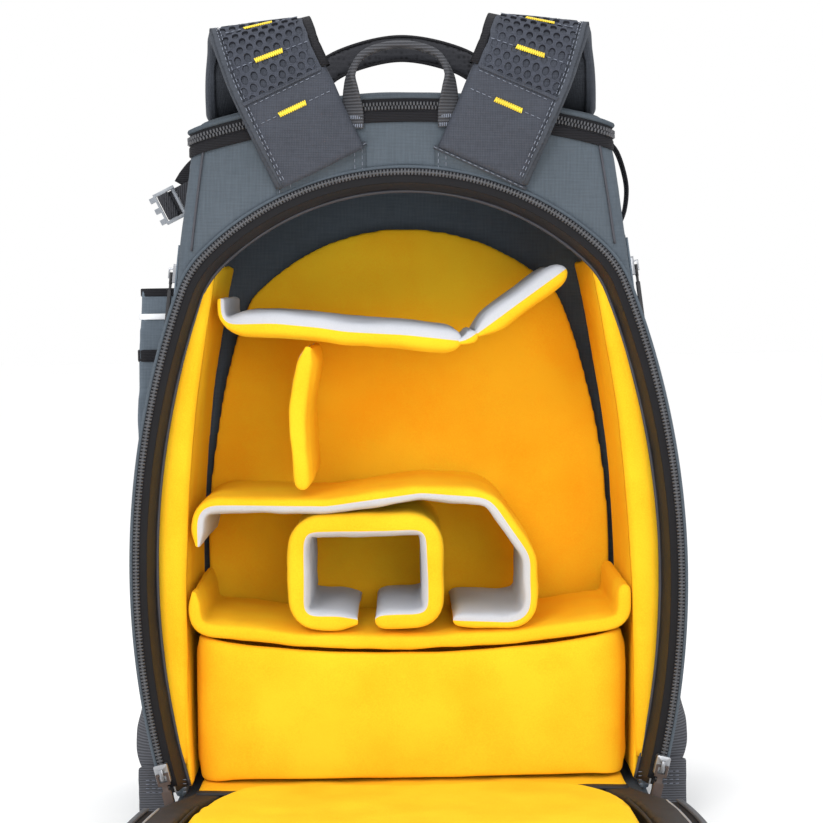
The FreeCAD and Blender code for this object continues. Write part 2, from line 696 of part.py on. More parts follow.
def make_harness(outer):
    """Shoulder straps, their webbing, adjusters and wings, and the two handles."""
    for side, sign in SIDES:
        solid(f"{side}_shoulder_strap", ribbon(strap_stations(sign)))
        solid(f"{side}_strap_webbing", ribbon(webbing_stations(sign)))
        lock = box(-19, 19, -3, 3, -10, 10).cut(box(-11, 11, -4, 4, 1, 6)).cut(box(-11, 11, -4, 4, -6, -1))
        solid(f"{side}_strap_adjuster", lock, Placement(Vector(sign * 119, 115, 413), Rotation()))
        wing = [(-160, 6), (-201, 6), (-201, 47), (-181, 49.5), (-160, 40)]
        corners = [Vector(-sign * x, z, 0) for x, z in wing]
        curves = [Part.LineSegment(a, b) for a, b in zip(corners, corners[1:] + corners[:1])]
        solid(f"{side}_wing", prism(curves, -96, -100).cut(outer))
    handle = [(-34, 533), (-36, 548), (-24, 563), (0, 567), (24, 563), (36, 548), (34, 533)]
    slab("carry_handle", thicken(round_bends(handle, 16), 4), "Dimensions.carry_width", standing(-118.5))
    grab = [(-72, 541), (-70, 560), (-46, 578), (0, 588), (46, 578), (70, 560), (72, 541)]
    slab("grab_handle", thicken(round_bends(grab, 34), 20), "Dimensions.grab_thick", standing(98))
    tails = [box(x - 8, x + 8, BACK - 1.4, BACK - 0.2, 509, 519) for x in (-34, 34)]
    solid("carry_handle_tails", tails[0].fuse(tails[1]))


def side_pocket(label, sign, reach, level, low, high, half_depth):
    """Open-topped pocket on a side wall, bulging to reach at a height."""
    wall, radius, root = size("pocket_wall"), 1500, 120
    blocks = []
    for inset in (0, wall):
        foot = on_arc((reach - radius, level), radius - inset, low + inset, 1)
        mouth = on_arc((reach - radius, level), radius - inset, high + inset, 1)
        outline = [
            arc_through((reach - radius, level), radius - inset, foot, mouth),
            Part.LineSegment(mouth, Vector(root, high + inset, 0)),
            Part.LineSegment(Vector(root, high + inset, 0), Vector(root, low + inset, 0)),
            Part.LineSegment(Vector(root, low + inset, 0), foot),
        ]
        blocks.append(prism(outline, half_depth - inset, inset - half_depth))
    shape = blocks[0].cut(blocks[1]).common(box(0, FAR, -FAR, FAR, low, high))
    if sign < 0:
        shape = shape.mirror(Vector(0, 0, 0), Vector(1, 0, 0))
    return label, shape


def make_pockets(outer):
    """Open side pockets, and the zipped pocket on the front."""
    for label, shape in (side_pocket("left_side_pocket", -1, 200, 270, 24, 398, 60),
                         side_pocket("right_side_pocket", 1, 197, 130, 24, 205, 60)):
        solid(label, max(shape.cut(outer).Solids, key=lambda piece: piece.Volume))
    pouch_front = FRONT + GAP + size("pouch_depth")
    slab("front_pocket", rectangle(-118, 52, 118, 384, 34), "Dimensions.pouch_depth", standing(pouch_front))
    level, half = size("pocket_zip_level"), size("chain_width") / 2
    slab("front_pocket_zip_chain", rectangle(-96, level - half, 96, level + half),
         "Dimensions.chain_height", standing(pouch_front + GAP + size("chain_height")))


def make_compression(outer):
    """Strap and buckle on the left side near the lid, and the loop that matches them on the right."""
    width, thick = size("webbing_width"), size("webbing_thick")
    half, deep, length = size("buckle_width") / 2, size("buckle_thick") / 2, size("buckle_length")
    inside, bar = width / 2 + GAP, size("buckle_bar") / 2
    buckle = box(-half, half, -deep, deep, -length, 0)
    for low, high in ((-7, 1), (-15.5, -13)):
        buckle = buckle.cut(box(-inside, inside, -deep - 1, deep + 1, low, high))
    buckle = buckle.fuse(Part.makeCylinder(bar, 2 * half, Vector(-half, 0, -bar), Vector(1, 0, 0)))
    for prong in (-9, 0, 9):
        buckle = buckle.fuse(box(prong - 2, prong + 2, 1 - deep, deep - 1, -length - 4, -length))
    tilt = math.radians(size("buckle_tilt"))
    lead, across = Vector(math.sin(tilt), 0, math.cos(tilt)), Vector(math.cos(tilt), 0, -math.sin(tilt))
    edge = Vector(-168.7, -20, 464.8)
    place = Placement(edge, Rotation(Vector(0, 1, 0), size("buckle_tilt")))
    solid("left_compression_buckle", buckle.removeSplitter(), place)
    # one leg pulls on the bar, the other runs up the side behind it
    pull = ribbon([(tuple(edge + lead * reach), tuple(across), width, thick) for reach in (26, GAP)])
    corners = [(-150, 494), (-164.5, 493.5), (-171, 484), (-172.5, 479), (-161.7, 471), (-150, 480)]
    loop = [Vector(x, edge.y + thick / 2 - 0.2, z) for x, z in corners]
    riser = Part.Face(Part.makePolygon(loop + loop[:1])).extrude(Vector(0, thick, 0))
    solid("left_compression_strap", pull.fuse(riser).cut(outer).removeSplitter())
    route = [(156, 504), (163, 495), (168, 480), (170, 466), (168, 450), (163, 438)]
    solid("right_compression_loop", ribbon([((x, -20, z), (0, 1, 0), width, thick) for x, z in route]))


def check_and_export():
    doc.recompute()
    for obj in doc.Objects:
        if any(s in ("Invalid", "Error") for s in obj.State):
            raise RuntimeError(f"{obj.Label} failed: {obj.State}")
    os.makedirs("parts", exist_ok=True)
    for part in parts:
        shape = part.Shape
        if shape.isNull() or not shape.isValid() or not shape.Solids:
            raise RuntimeError(f"{part.Label} has no valid shape")
        shape.exportStep(f"parts/{part.Label}.step")
        b = shape.BoundBox
        print(f"{part.Label:26s} solids {len(shape.Solids)} volume {shape.Volume/1000:8.1f} cm3"
              f" x {b.XMin:.1f}..{b.XMax:.1f} y {b.YMin:.1f}..{b.YMax:.1f} z {b.ZMin:.1f}..{b.ZMax:.1f}")


outer_block, walls = make_case()
make_yoke(outer_block, walls)
make_gusset()
make_chains(outer_block)
make_lining()
make_dividers()
make_door()
make_sliders()
make_harness(outer_block)
make_pockets(outer_block)
make_compression(outer_block)
check_and_export()
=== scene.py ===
"""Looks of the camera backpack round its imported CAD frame: cloth, padding, zips, mesh and stitching."""
import json
import math

import bmesh
import bpy
from mathutils import Matrix, Vector, noise


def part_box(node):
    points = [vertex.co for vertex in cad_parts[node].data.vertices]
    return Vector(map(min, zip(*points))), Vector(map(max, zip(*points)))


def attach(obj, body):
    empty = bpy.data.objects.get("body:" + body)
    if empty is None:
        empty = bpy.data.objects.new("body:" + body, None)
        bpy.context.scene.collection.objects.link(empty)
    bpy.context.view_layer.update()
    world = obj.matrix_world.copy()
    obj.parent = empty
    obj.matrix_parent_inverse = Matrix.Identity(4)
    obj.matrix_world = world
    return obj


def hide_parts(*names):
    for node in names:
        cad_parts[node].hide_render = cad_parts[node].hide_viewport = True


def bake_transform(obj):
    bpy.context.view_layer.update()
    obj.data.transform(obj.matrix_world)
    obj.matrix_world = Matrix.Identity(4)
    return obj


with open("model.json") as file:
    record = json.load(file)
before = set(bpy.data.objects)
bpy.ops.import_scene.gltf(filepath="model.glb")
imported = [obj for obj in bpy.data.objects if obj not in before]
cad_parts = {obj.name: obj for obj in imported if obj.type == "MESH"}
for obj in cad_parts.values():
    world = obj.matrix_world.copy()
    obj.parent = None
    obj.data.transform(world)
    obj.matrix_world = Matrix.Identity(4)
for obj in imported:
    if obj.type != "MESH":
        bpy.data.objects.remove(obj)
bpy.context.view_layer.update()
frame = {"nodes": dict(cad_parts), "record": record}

# Everything below is in millimetres until a mesh is made, which takes metres.
MM = 0.001
BODY_OF = {node: body for body, nodes in frame["record"]["behaviour"]["bodies"].items() for node in nodes}
SIDES = (("left", -1), ("right", 1))
ACROSS, AHEAD, REAR, UP = Vector((1, 0, 0)), Vector((0, 1, 0)), Vector((0, -1, 0)), Vector((0, 0, 1))

# Outline of the opening: side arcs, shoulder arcs and a crown, tangent to each other, and their lengths.
SILL = 32
SIDE_RUN, SHOULDER_RUN, CROWN_RUN = 372, 32, 156
SIDE_CENTRE, SIDE_RADIUS = (-404, 185), 600
SHOULDER_CENTRE, SHOULDER_RADIUS = (92.78, 369.68), 70
CROWN_CENTRE, CROWN_RADIUS = (0, 273), 204
WAIST_ANGLE = math.atan2(SHOULDER_CENTRE[1] - SIDE_CENTRE[1], SHOULDER_CENTRE[0] - SIDE_CENTRE[0])
CROWN_ANGLE = math.atan2(SHOULDER_CENTRE[1] - CROWN_CENTRE[1], SHOULDER_CENTRE[0])

# Outline of the case, its back and front planes, and the arc of the seam round its lid.
CASE_CENTRE, CASE_RADIUS = (-2021, 150), 2200
BACK, FRONT = -115, 105
LID_LEVEL, LID_RADIUS, LID_REACH, LID_CORNER = -4, 529, 151.8, 16

# Levels where the two halves of the door zip start, and depths that the open door and side zips lie at.
CASE_ZIP_FOOT, DOOR_ZIP_FOOT = 36, 80
HINGE_DEPTH, SIDE_ZIP_DEPTH = -87, -77.25



# ---------- camera, floor and light
def placed(name, data):
    """A new object in the scene."""
    made = bpy.data.objects.new(name, data)
    bpy.context.scene.collection.objects.link(made)
    return made


def make_camera():
    """Long lens, three degrees above the horizon, looking into the opening."""
    data = bpy.data.cameras.new("camera")
    camera = placed("camera", data)
    data.sensor_width = 36
    data.lens = 97.2
    data.clip_end = 30
    elevation, roll = math.radians(3), math.radians(-1.0)
    aim, distance = Vector((0.004, -0.115, 0.306)), 1.6
    away = Vector((0, -math.cos(elevation), math.sin(elevation)))
    camera.location = aim + away * distance
    level = (-away).to_track_quat("-Z", "Y").to_matrix()
    camera.rotation_euler = (level @ Matrix.Rotation(roll, 3, "Z")).to_euler()
    bpy.context.scene.camera = camera


def make_light(name, location, aim, size, power):
    data = bpy.data.lights.new(name, "AREA")
    data.size = size
    data.energy = power
    light = placed(name, data)
    light.location = location
    light.rotation_euler = (Vector(aim) - Vector(location)).to_track_quat("-Z", "Y").to_euler()


def make_studio():
    """White room light, a soft key from the upper left, and a pale floor."""
    bpy.context.scene.view_settings.view_transform = "Standard"
    world = bpy.data.worlds.new("studio")
    world.use_nodes = True
    bpy.context.scene.world = world
    world.node_tree.nodes["Background"].inputs[0].default_value = (1, 1, 1, 1)
    world.node_tree.nodes["Background"].inputs[1].default_value = 1.0
    make_light("key", (-0.7, -2.2, 1.5), (0, 0, 0.3), 0.8, 17)
    make_light("front", (0.3, -2.3, 0.6), (0, 0, 0.25), 0.8, 12)
    make_light("top", (0, 0.1, 1.9), (0, 0, 0.4), 1.0, 8)
    reach = 12000
    corners = [(-reach, -reach, 0), (reach, -reach, 0), (reach, reach, 0), (-reach, reach, 0)]
    new_piece("floor", corners, [(0, 1, 2, 3)], "floor")


# ---------- materials
def shade(colour, factor):
    return tuple(min(1.0, c * factor) for c in colour)


class Shader:
    """Short hand for building one material's node tree."""

    def __init__(self, name, colour, rough, sheen=0.0, metal=0.0):
        self.material = bpy.data.materials.new(name)
        self.material.use_nodes = True
        self.tree = self.material.node_tree
        self.bsdf = self.tree.nodes["Principled BSDF"]
        self.bsdf.inputs["Base Color"].default_value = (*colour, 1)
        self.bsdf.inputs["Roughness"].default_value = rough
        self.bsdf.inputs["Sheen Weight"].default_value = sheen
        self.bsdf.inputs["Sheen Tint"].default_value = (*shade(colour, 1.4), 1)
        self.bsdf.inputs["Specular IOR Level"].default_value = 0.5 if rough < 0.7 else 0.2
        self.bsdf.inputs["Metallic"].default_value = metal
        self.coords = self.node("ShaderNodeTexCoord").outputs["Object"]

    def plug(self, value, socket):
        if isinstance(value, bpy.types.NodeSocket):
            self.tree.links.new(value, socket)
        else:
            socket.default_value = value

    def node(self, kind, **inputs):
        made = self.tree.nodes.new(kind)
        for key, value in inputs.items():
            self.plug(value, made.inputs[key])
        return made

    def stretched(self, scale):
        """Object coordinates scaled by different amounts along X, Y and Z."""
        return self.node("ShaderNodeMapping", Vector=self.coords, Scale=scale).outputs["Vector"]

    def noise(self, scale, detail=3.0, coords=None):
        made = self.node("ShaderNodeTexNoise", Vector=coords or self.coords, Scale=scale, Detail=detail)
        return made.outputs["Fac"]

    def bands(self, direction, period, twist=0.3):
        """Waves a period apart, in metres."""
        scale = math.pi / 10 / period
        made = self.node("ShaderNodeTexWave", Vector=self.coords, Scale=scale, Distortion=twist)
        made.bands_direction = direction
        return made.outputs["Fac"]

    def weave(self, period):
        """Threads along the two axes that lie in the surface, found from its direction."""
        texture = self.tree.nodes["Texture Coordinate"]
        normal = self.node("ShaderNodeSeparateXYZ", Vector=texture.outputs["Normal"])
        terms = []
        for axis in "XYZ":
            facing = self.maths("MULTIPLY", normal.outputs[axis], normal.outputs[axis])
            lying = self.maths("SUBTRACT", 1.0, facing)
            terms.append((self.maths("MULTIPLY", lying, 0.5), self.bands(axis, period)))
        return self.mix(*terms)

    def mix(self, *terms):
        """Weighted sum of (weight, factor) pairs."""
        total = None
        for weight, factor in terms:
            part = self.maths("MULTIPLY", factor, weight)
            total = part if total is None else self.maths("ADD", total, part)
        return total

    def maths(self, operation, a, b):
        made = self.node("ShaderNodeMath")
        made.operation = operation
        self.plug(a, made.inputs[0])
        self.plug(b, made.inputs[1])
        return made.outputs[0]

    def ramp(self, factor, low, high):
        """Colour that runs from one (position, colour) to another along a factor."""
        made = self.node("ShaderNodeValToRGB", Fac=factor)
        for element, (position, colour) in zip(made.color_ramp.elements, (low, high)):
            element.position = position
            element.color = (*colour, 1)
        return made.outputs["Color"]

    def bump(self, height, distance, strength=1.0, under=None):
        made = self.node("ShaderNodeBump", Height=height, Distance=distance, Strength=strength)
        if under is not None:
            self.plug(under, made.inputs["Normal"])
        return made.outputs["Normal"]

    def finish(self, colour, normal):
        self.plug(colour, self.bsdf.inputs["Base Color"])
        self.plug(normal, self.bsdf.inputs["Normal"])
        return self.material


def moulded(name, colour, rough, metal=0.0):
    """Smooth surface with a faint grain and slight mottling."""
    s = Shader(name, colour, rough, metal=metal)
    mottled = s.ramp(s.noise(60), (0.3, shade(colour, 0.85)), (0.7, shade(colour, 1.15)))
    return s.finish(mottled, s.bump(s.noise(900, 2), 0.00005, 0.5))


def woven(name, colour, period=0.0009, rough=0.85, contrast=0.22, relief=0.0002, sheen=0.08):
    """Plain weave in heathered yarn, with soft patches of wear."""
    s = Shader(name, colour, rough, sheen)
    threads = s.weave(period)
    warp = s.noise(1, 2, s.stretched((900, 900, 60)))
    weft = s.noise(1, 2, s.stretched((70, 70, 900)))
    tone = s.mix((0.3, threads), (0.25, warp), (0.25, weft), (0.2, s.noise(16, 4)))
    colours = s.ramp(tone, (0.32, shade(colour, 1 - contrast)), (0.68, shade(colour, 1 + contrast)))
    return s.finish(colours, s.bump(threads, relief, 0.7))


def brushed(name, colour, deep, sheen=0.2):
    """Brushed loop lining: a soft nap with faint clouds."""
    s = Shader(name, colour, 0.95, sheen)
    nap = s.noise(1100, 4)
    tone = s.mix((0.4, nap), (0.6, s.noise(20, 5)))
    pile = s.bump(nap, 0.0003, 0.6)
    colours = s.ramp(tone, (0.32, deep), (0.6, colour))
    return s.finish(colours, s.bump(s.noise(170, 3), 0.0005, 0.45, pile))


def ribbed(name, colour, direction="Z", period=0.0016):
    """Webbing with ribs that follow each other along a direction."""
    s = Shader(name, colour, 0.75, 0.05)
    ribs = s.bands(direction, period, 0.1)
    tone = s.mix((0.6, ribs), (0.4, s.noise(1400, 2)))
    colours = s.ramp(tone, (0.2, shade(colour, 0.6)), (0.8, shade(colour, 1.4)))
    return s.finish(colours, s.bump(ribs, 0.0004, 0.9))


def knitted(name, colour, cell=0.0042):
    """Knitted spacer mesh with its small holes painted dark as painted shade."""
    s = Shader(name, colour, 0.85, 0.25)
    pattern = s.node("ShaderNodeTexVoronoi", Vector=s.coords, Scale=1 / cell, Randomness=0.35)
    cells = pattern.outputs["Distance"]
    # The middles of the cells, the holes, are painted darker than the yarn: painted shade in the holes.
    colours = s.ramp(cells, (0.16, shade(colour, 0.25)), (0.5, colour))
    return s.finish(colours, s.bump(cells, 0.0010, 0.9))


def lit_floor(name):
    """White paper that glows faintly, so that it meets the white room without an edge."""
    s = Shader(name, (0.94, 0.94, 0.94), 0.9)
    s.bsdf.inputs["Emission Color"].default_value = (1, 1, 1, 1)
    s.bsdf.inputs["Emission Strength"].default_value = 0.06
    tone = s.ramp(s.noise(3), (0.0, (0.93, 0.93, 0.93)), (1.0, (0.95, 0.95, 0.95)))
    return s.finish(tone, s.bump(s.noise(200), 0.00002, 0.2))


GREY = (0.080, 0.099, 0.120)
YELLOW = (0.985, 0.60, 0.020)
DEEP_YELLOW = (0.97, 0.47, 0.010)
PALE = (0.56, 0.58, 0.63)

MATERIALS = {
    "floor": lit_floor("floor_paper"),
    "shell": woven("shell_cloth", shade(GREY, 1.2), 0.0011),
    "yoke": woven("yoke_cloth", GREY, 0.0010),
    "lid": woven("lid_cloth", shade(GREY, 0.8), 0.0010),
    # The side cloth is the grey cloth lightened 1.75 times: the grey is the cloth's own, the extra lightness
    # is painted sheen.
    "side": woven("side_cloth_painted_sheen", shade(GREY, 1.75), 0.0011),
    "pocket": woven("pocket_cloth", shade(GREY, 1.35), 0.0011),
    "patch": woven("patch_cloth", shade(GREY, 0.85), 0.0010),
    "gusset": woven("gusset_cloth", (0.012, 0.012, 0.015), 0.0007, 0.65, 0.2, 0.0001, 0.0),
    "yellow": brushed("yellow_loop_cloth", YELLOW, DEEP_YELLOW),
    "pale": brushed("pale_grey_cloth", PALE, shade(PALE, 0.9), sheen=0.15),
    "strap": woven("strap_cloth", (0.052, 0.058, 0.074), 0.0012, contrast=0.3, sheen=0.1),
    "strap_back": woven("strap_back_cloth", (0.045, 0.05, 0.06), 0.0012, contrast=0.3, sheen=0.1),
    "binding": woven("binding_tape", (0.055, 0.062, 0.076), 0.0008, contrast=0.3, sheen=0.1),
    "dark_binding": ribbed("dark_binding_tape", (0.013, 0.013, 0.016), "Z", 0.0012),
    "brown_binding": ribbed("rim_binding_tape", (0.040, 0.034, 0.030), "Y", 0.0012),
    "black_webbing": ribbed("black_webbing", (0.015, 0.015, 0.018), "Z"),
    "grey_webbing": ribbed("grey_webbing", (0.075, 0.078, 0.090), "Z", 0.0018),
    "handle_webbing": ribbed("handle_webbing", (0.060, 0.062, 0.070), "Z", 0.0022),
    # Air mesh with its holes painted dark: painted shade.
    "air_mesh": knitted("black_air_mesh", (0.035, 0.036, 0.042)),
    # Near-black sheet for the bottoms of the honeycomb cells: painted shadow.
    "hole_shadow": moulded("mesh_hole_shadow", (0.012, 0.013, 0.018), 0.9),
    "comb": woven("honeycomb_mesh", (0.052, 0.058, 0.076), 0.0006, 0.8, 0.35, 0.0001, 0.15),
    "tape": woven("zip_tape", (0.010, 0.010, 0.012), 0.0006, 0.75, 0.2, 0.0001, 0.0),
    "coil": moulded("zip_coil", (0.055, 0.057, 0.065), 0.3),
    "slider": moulded("slider_metal", (0.30, 0.31, 0.33), 0.32, 0.8),
    "rubber": moulded("moulded_rubber", (0.022, 0.022, 0.025), 0.55),
    "brown_rubber": moulded("brown_rubber", (0.060, 0.038, 0.030), 0.5),
    "buckle_webbing": ribbed("buckle_webbing", (0.040, 0.041, 0.047), "X", 0.0017),
    "buckle": moulded("grey_acetal", (0.26, 0.28, 0.31), 0.3),
    "plastic": moulded("black_acetal", (0.032, 0.033, 0.038), 0.36),
    "board": moulded("stiffener_board", (0.05, 0.05, 0.055), 0.5),
    "piping": moulded("grey_piping", (0.30, 0.31, 0.33), 0.6),
    "dark_piping": moulded("dark_piping", (0.040, 0.042, 0.055), 0.5),
    "thread": moulded("grey_thread", (0.19, 0.21, 0.26), 0.7),
    "yellow_thread": moulded("yellow_thread", (0.95, 0.68, 0.04), 0.6),
    "reflective": moulded("reflective_strip", (0.70, 0.72, 0.75), 0.3),
}


# ---------- pieces and where they belong
def mend(mesh, merge=0.0):
    """Merges points closer than merge, in millimetres, and turns every face outwards."""
    work = bmesh.new()
    work.from_mesh(mesh)
    if merge:
        bmesh.ops.remove_doubles(work, verts=work.verts, dist=merge * MM)
    bmesh.ops.recalc_face_normals(work, faces=work.faces)
    work.to_mesh(mesh)
    work.free()


def new_piece(name, points, faces, materials, sides=None, closed=False):
    """A smooth-shaded object from points in millimetres; sides gives each face's material."""
    mesh = bpy.data.meshes.new(name)
    mesh.from_pydata([Vector(point) * MM for point in points], [], faces)
    for material in (materials,) if isinstance(materials, str) else materials:
        mesh.materials.append(MATERIALS[material])
    if sides:
        mesh.polygons.foreach_set("material_index", sides)
    mesh.polygons.foreach_set("use_smooth", [True] * len(mesh.polygons))
    if closed:
        mend(mesh)
    mesh.update()
    return placed(name, mesh)


def stands_for(piece, *nodes):
    """The piece rides with the body of the first CAD node and replaces the nodes."""
    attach(piece, BODY_OF[nodes[0]])
    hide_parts(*nodes)
    return piece


def belongs(piece, body="case"):
    """A detail that rides on a body."""
    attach(piece, body)
    return piece


def copy_of(name, node, material):
    """A new object with a CAD node's mesh, its points merged."""
    work = bmesh.new()
    work.from_mesh(frame["nodes"][node].data)
    bmesh.ops.remove_doubles(work, verts=work.verts, dist=0.02 * MM)
    mesh = bpy.data.meshes.new(name)
    work.to_mesh(mesh)
    work.free()
    mesh.materials.clear()
    mesh.materials.append(MATERIALS[material])
    return placed(name, mesh)


def modify(piece, kind, **settings):
    modifier = piece.modifiers.new(kind.lower(), kind)
    for key, value in settings.items():
        setattr(modifier, key, value)


def bake(piece):
    """Applies every modifier and shades the result smooth."""
    graph = bpy.context.evaluated_depsgraph_get()
    mesh = bpy.data.meshes.new_from_object(piece.evaluated_get(graph))
    piece.modifiers.clear()
    piece.data = mesh
    mesh.name = piece.name
    mesh.polygons.foreach_set("use_smooth", [True] * len(mesh.polygons))
    return piece


def soften(name, node, material, voxel, rounds):
    """A CAD solid as cloth: remeshed evenly, with its edges relaxed."""
    piece = copy_of(name, node, material)
    modify(piece, "REMESH", mode="VOXEL", voxel_size=voxel * MM)
    modify(piece, "SMOOTH", factor=0.5, iterations=rounds)
    return bake(piece)


def bevelled(name, node, material, width):
    """A CAD solid of hard material with its edges rounded."""
    piece = copy_of(name, node, material)
    modify(piece, "BEVEL", width=width * MM, segments=2, limit_method="ANGLE")
    return stands_for(bake(piece), node)


def wrinkle(piece, height, size, seed=0, stretch=(1, 1, 1)):
    """Moves points along their normals by smooth noise, with heights and sizes in millimetres."""
    shift = Vector((seed * 3.7, seed * 1.3, seed * 2.1))
    moved = []
    for vertex in piece.data.vertices:
        spot = Vector([c * k / (size * MM) for c, k in zip(vertex.co, stretch)]) + shift
        rise = noise.noise(spot) + 0.5 * noise.noise(spot * 2.3)
        moved.append(vertex.co + vertex.normal * rise * height * MM)
    for vertex, place in zip(piece.data.vertices, moved):
        vertex.co = place
    piece.data.update()
    return piece


def clothed(name, node, material, height, size, seed=0, stretch=(1, 1, 1), voxel=3.0, rounds=6):
    """A CAD solid as creased cloth, which replaces it."""
    return stands_for(wrinkle(soften(name, node, material, voxel, rounds), height, size, seed, stretch), node)


def swell(piece, cap, pressure=4.0, frames=16):
    """Cloth simulation of a closed pad under pressure; no point moves further than cap."""
    start = [vertex.co.copy() for vertex in piece.data.vertices]
    modify(piece, "CLOTH")
    settings = piece.modifiers["cloth"].settings
    settings.use_pressure = True
    settings.uniform_pressure_force = pressure
    settings.effector_weights.gravity = 0
    piece.modifiers["cloth"].point_cache.frame_end = frames
    for step in range(1, frames + 1):
        bpy.context.scene.frame_set(step)
    graph = bpy.context.evaluated_depsgraph_get()
    swollen = [vertex.co.copy() for vertex in piece.evaluated_get(graph).data.vertices]
    piece.modifiers.clear()
    bpy.context.scene.frame_set(1)
    for vertex, before, after in zip(piece.data.vertices, start, swollen):
        step = after - before
        vertex.co = before + step * min(1.0, cap * MM / max(step.length, 1e-9))
    modify(piece, "SUBSURF", levels=1, render_levels=1)
    return bake(piece)


# ---------- lines and outlines
def arc(centre, radius, start, end, count):
    """Points along an arc, without its last one."""
    angles = [start + (end - start) * i / count for i in range(count)]
    return [(centre[0] + radius * math.cos(a), centre[1] + radius * math.sin(a)) for a in angles]


def arch(grow=0.0, low=SILL, step=5.0):
    """Opening outline pushed outwards by grow, from the left foot over the crown to the right foot."""
    foot = math.asin((low - SIDE_CENTRE[1]) / (SIDE_RADIUS + grow))
    half = arc(SIDE_CENTRE, SIDE_RADIUS + grow, foot, WAIST_ANGLE, round(SIDE_RUN / step))
    half += arc(SHOULDER_CENTRE, SHOULDER_RADIUS + grow, WAIST_ANGLE, CROWN_ANGLE,
                max(2, round(SHOULDER_RUN / step)))
    half += arc(CROWN_CENTRE, CROWN_RADIUS + grow, CROWN_ANGLE, math.pi / 2, round(CROWN_RUN / step))
    crown = [(0, CROWN_CENTRE[1] + CROWN_RADIUS + grow)]
    return [(-x, z) for x, z in half] + crown + half[::-1]


def case_half_width(level):
    return CASE_CENTRE[0] + math.sqrt(CASE_RADIUS ** 2 - (level - CASE_CENTRE[1]) ** 2)


def lid_height(x):
    return math.sqrt(LID_RADIUS ** 2 - x ** 2) + LID_LEVEL


def opening(grow, depth, low=SILL):
    """Outline of the opening pushed outwards by grow, at a depth."""
    return [Vector((x, depth, z)) for x, z in arch(grow, low)]


def evenly(points, step):
    """Points a step apart along a polyline, as vectors of its own dimension."""
    points = [Vector(point) for point in points]
    lengths = [(b - a).length for a, b in zip(points, points[1:])]
    count = max(1, round(sum(lengths) / step))
    spacing = sum(lengths) / count
    spots, run, index = [points[0]], 0.0, 0
    for i in range(1, count):
        target = spacing * i
        while run + lengths[index] < target:
            run += lengths[index]
            index += 1
        spots.append(points[index].lerp(points[index + 1], (target - run) / lengths[index]))
    return spots + [points[-1]]


def rounded(points, radius, step=2.0):
    """A polyline with its corners rounded."""
    points = [Vector(point) for point in points]
    line = [points[0]]
    for before, corner, after in zip(points, points[1:], points[2:]):
        into, out = (corner - before), (after - corner)
        turn = into.angle(out)
        trim = min(radius * math.tan(turn / 2), 0.48 * into.length, 0.48 * out.length)
        start, end = corner - into.normalized() * trim, corner + out.normalized() * trim
        pieces = 6
        for i in range(pieces + 1):
            k = i / pieces
            line.append(start.lerp(corner, k).lerp(corner.lerp(end, k), k))
    return evenly(line + [points[-1]], step)


def through(points, step=3.0):
    """A smooth Catmull-Rom line through points of any dimension, spaced by their first three values."""
    rows = [list(point) for point in points]
    padded = [rows[0]] + rows + [rows[-1]]
    line = []
    for a, b, c, d in zip(padded, padded[1:], padded[2:], padded[3:]):
        span = math.dist(b[:3], c[:3])
        count = max(2, round(span / step))
        for i in range(count):
            k = i / count
            line.append([0.5 * (2 * q + (r - p) * k + (2 * p - 5 * q + 4 * r - s) * k * k
                                + (3 * q - p - 3 * r + s) * k ** 3) for p, q, r, s in zip(a, b, c, d)])
    return line + [rows[-1]]


# ---------- swept pieces
def bar(width, thick, count=4, bend=3, power=1.0):
    """Section of a flat bar, from one edge over the top and back; a low power squares its round edges."""
    half, flat = thick / 2, width / 2 - thick / 2
    angles = [math.pi / 2 * i / bend for i in range(1, bend)]
    top = [(-flat - half * math.cos(a) ** power, half * math.sin(a) ** power) for a in angles]
    top += [(-flat + 2 * flat * i / count, half) for i in range(count + 1)]
    top += [(flat + half * math.cos(a) ** power, half * math.sin(a) ** power) for a in reversed(angles)]
    return [(-width / 2, 0)] + top + [(width / 2, 0)] + [(u, -v) for u, v in reversed(top)]


def sweep(name, stations, materials, sides=None):
    """Joins stations, each (place, across, out, section), into a closed skin; sides picks the materials."""
    points, faces, marks = [], [], []
    for place, across, out, section in stations:
        points += [place + across * u + out * v for u, v in section]
    size = len(stations[0][3])
    for i in range(len(stations) - 1):
        for j in range(size):
            k = (j + 1) % size
            faces.append((i * size + j, i * size + k, (i + 1) * size + k, (i + 1) * size + j))
            marks.append(sides(j / size) if sides else 0)
    for base in (0, (len(stations) - 1) * size):
        for j in range(size // 2):
            face = [base + j, base + j + 1, base + (size - j - 1) % size, base + (size - j) % size]
            face = [f for i, f in enumerate(face) if f not in face[:i]]
            faces.append(tuple(face))
            marks.append(sides(0.25) if sides else 0)
    return new_piece(name, points, faces, materials, marks, closed=True)


def frames_along(line, out_hint):
    """(place, across, out) at each point of a line; out_hint is a direction or a function of the place."""
    line = [Vector(point[:3]) for point in line]
    spots = []
    for i, place in enumerate(line):
        tangent = (line[min(i + 1, len(line) - 1)] - line[max(i - 1, 0)]).normalized()
        hint = Vector(out_hint(place) if callable(out_hint) else out_hint)
        across = tangent.cross(hint).normalized()
        spots.append((place, across, across.cross(tangent).normalized()))
    return spots


def cord(name, line, out_hint, width, thick, material):
    """A bar of one size along a line."""
    section = bar(width, thick, 3, 2)
    return sweep(name, [(*spot, section) for spot in frames_along(line, out_hint)], material)


def joined(name, pieces):
    """One object from several new ones."""
    work = bmesh.new()
    materials = []
    for piece in pieces:
        start = len(work.faces)
        work.from_mesh(piece.data)
        work.faces.ensure_lookup_table()
        for face in work.faces[start:]:
            material = piece.data.materials[face.material_index]
            if material not in materials:
                materials.append(material)
            face.material_index = materials.index(material)
    mesh = bpy.data.meshes.new(name)
    work.to_mesh(mesh)
    work.free()
    for material in materials:
        mesh.materials.append(material)
    for piece in pieces:
        bpy.data.meshes.remove(piece.data)
    return placed(name, mesh)


EDGE_STEPS = 3
TAB_SHARE = 0.34


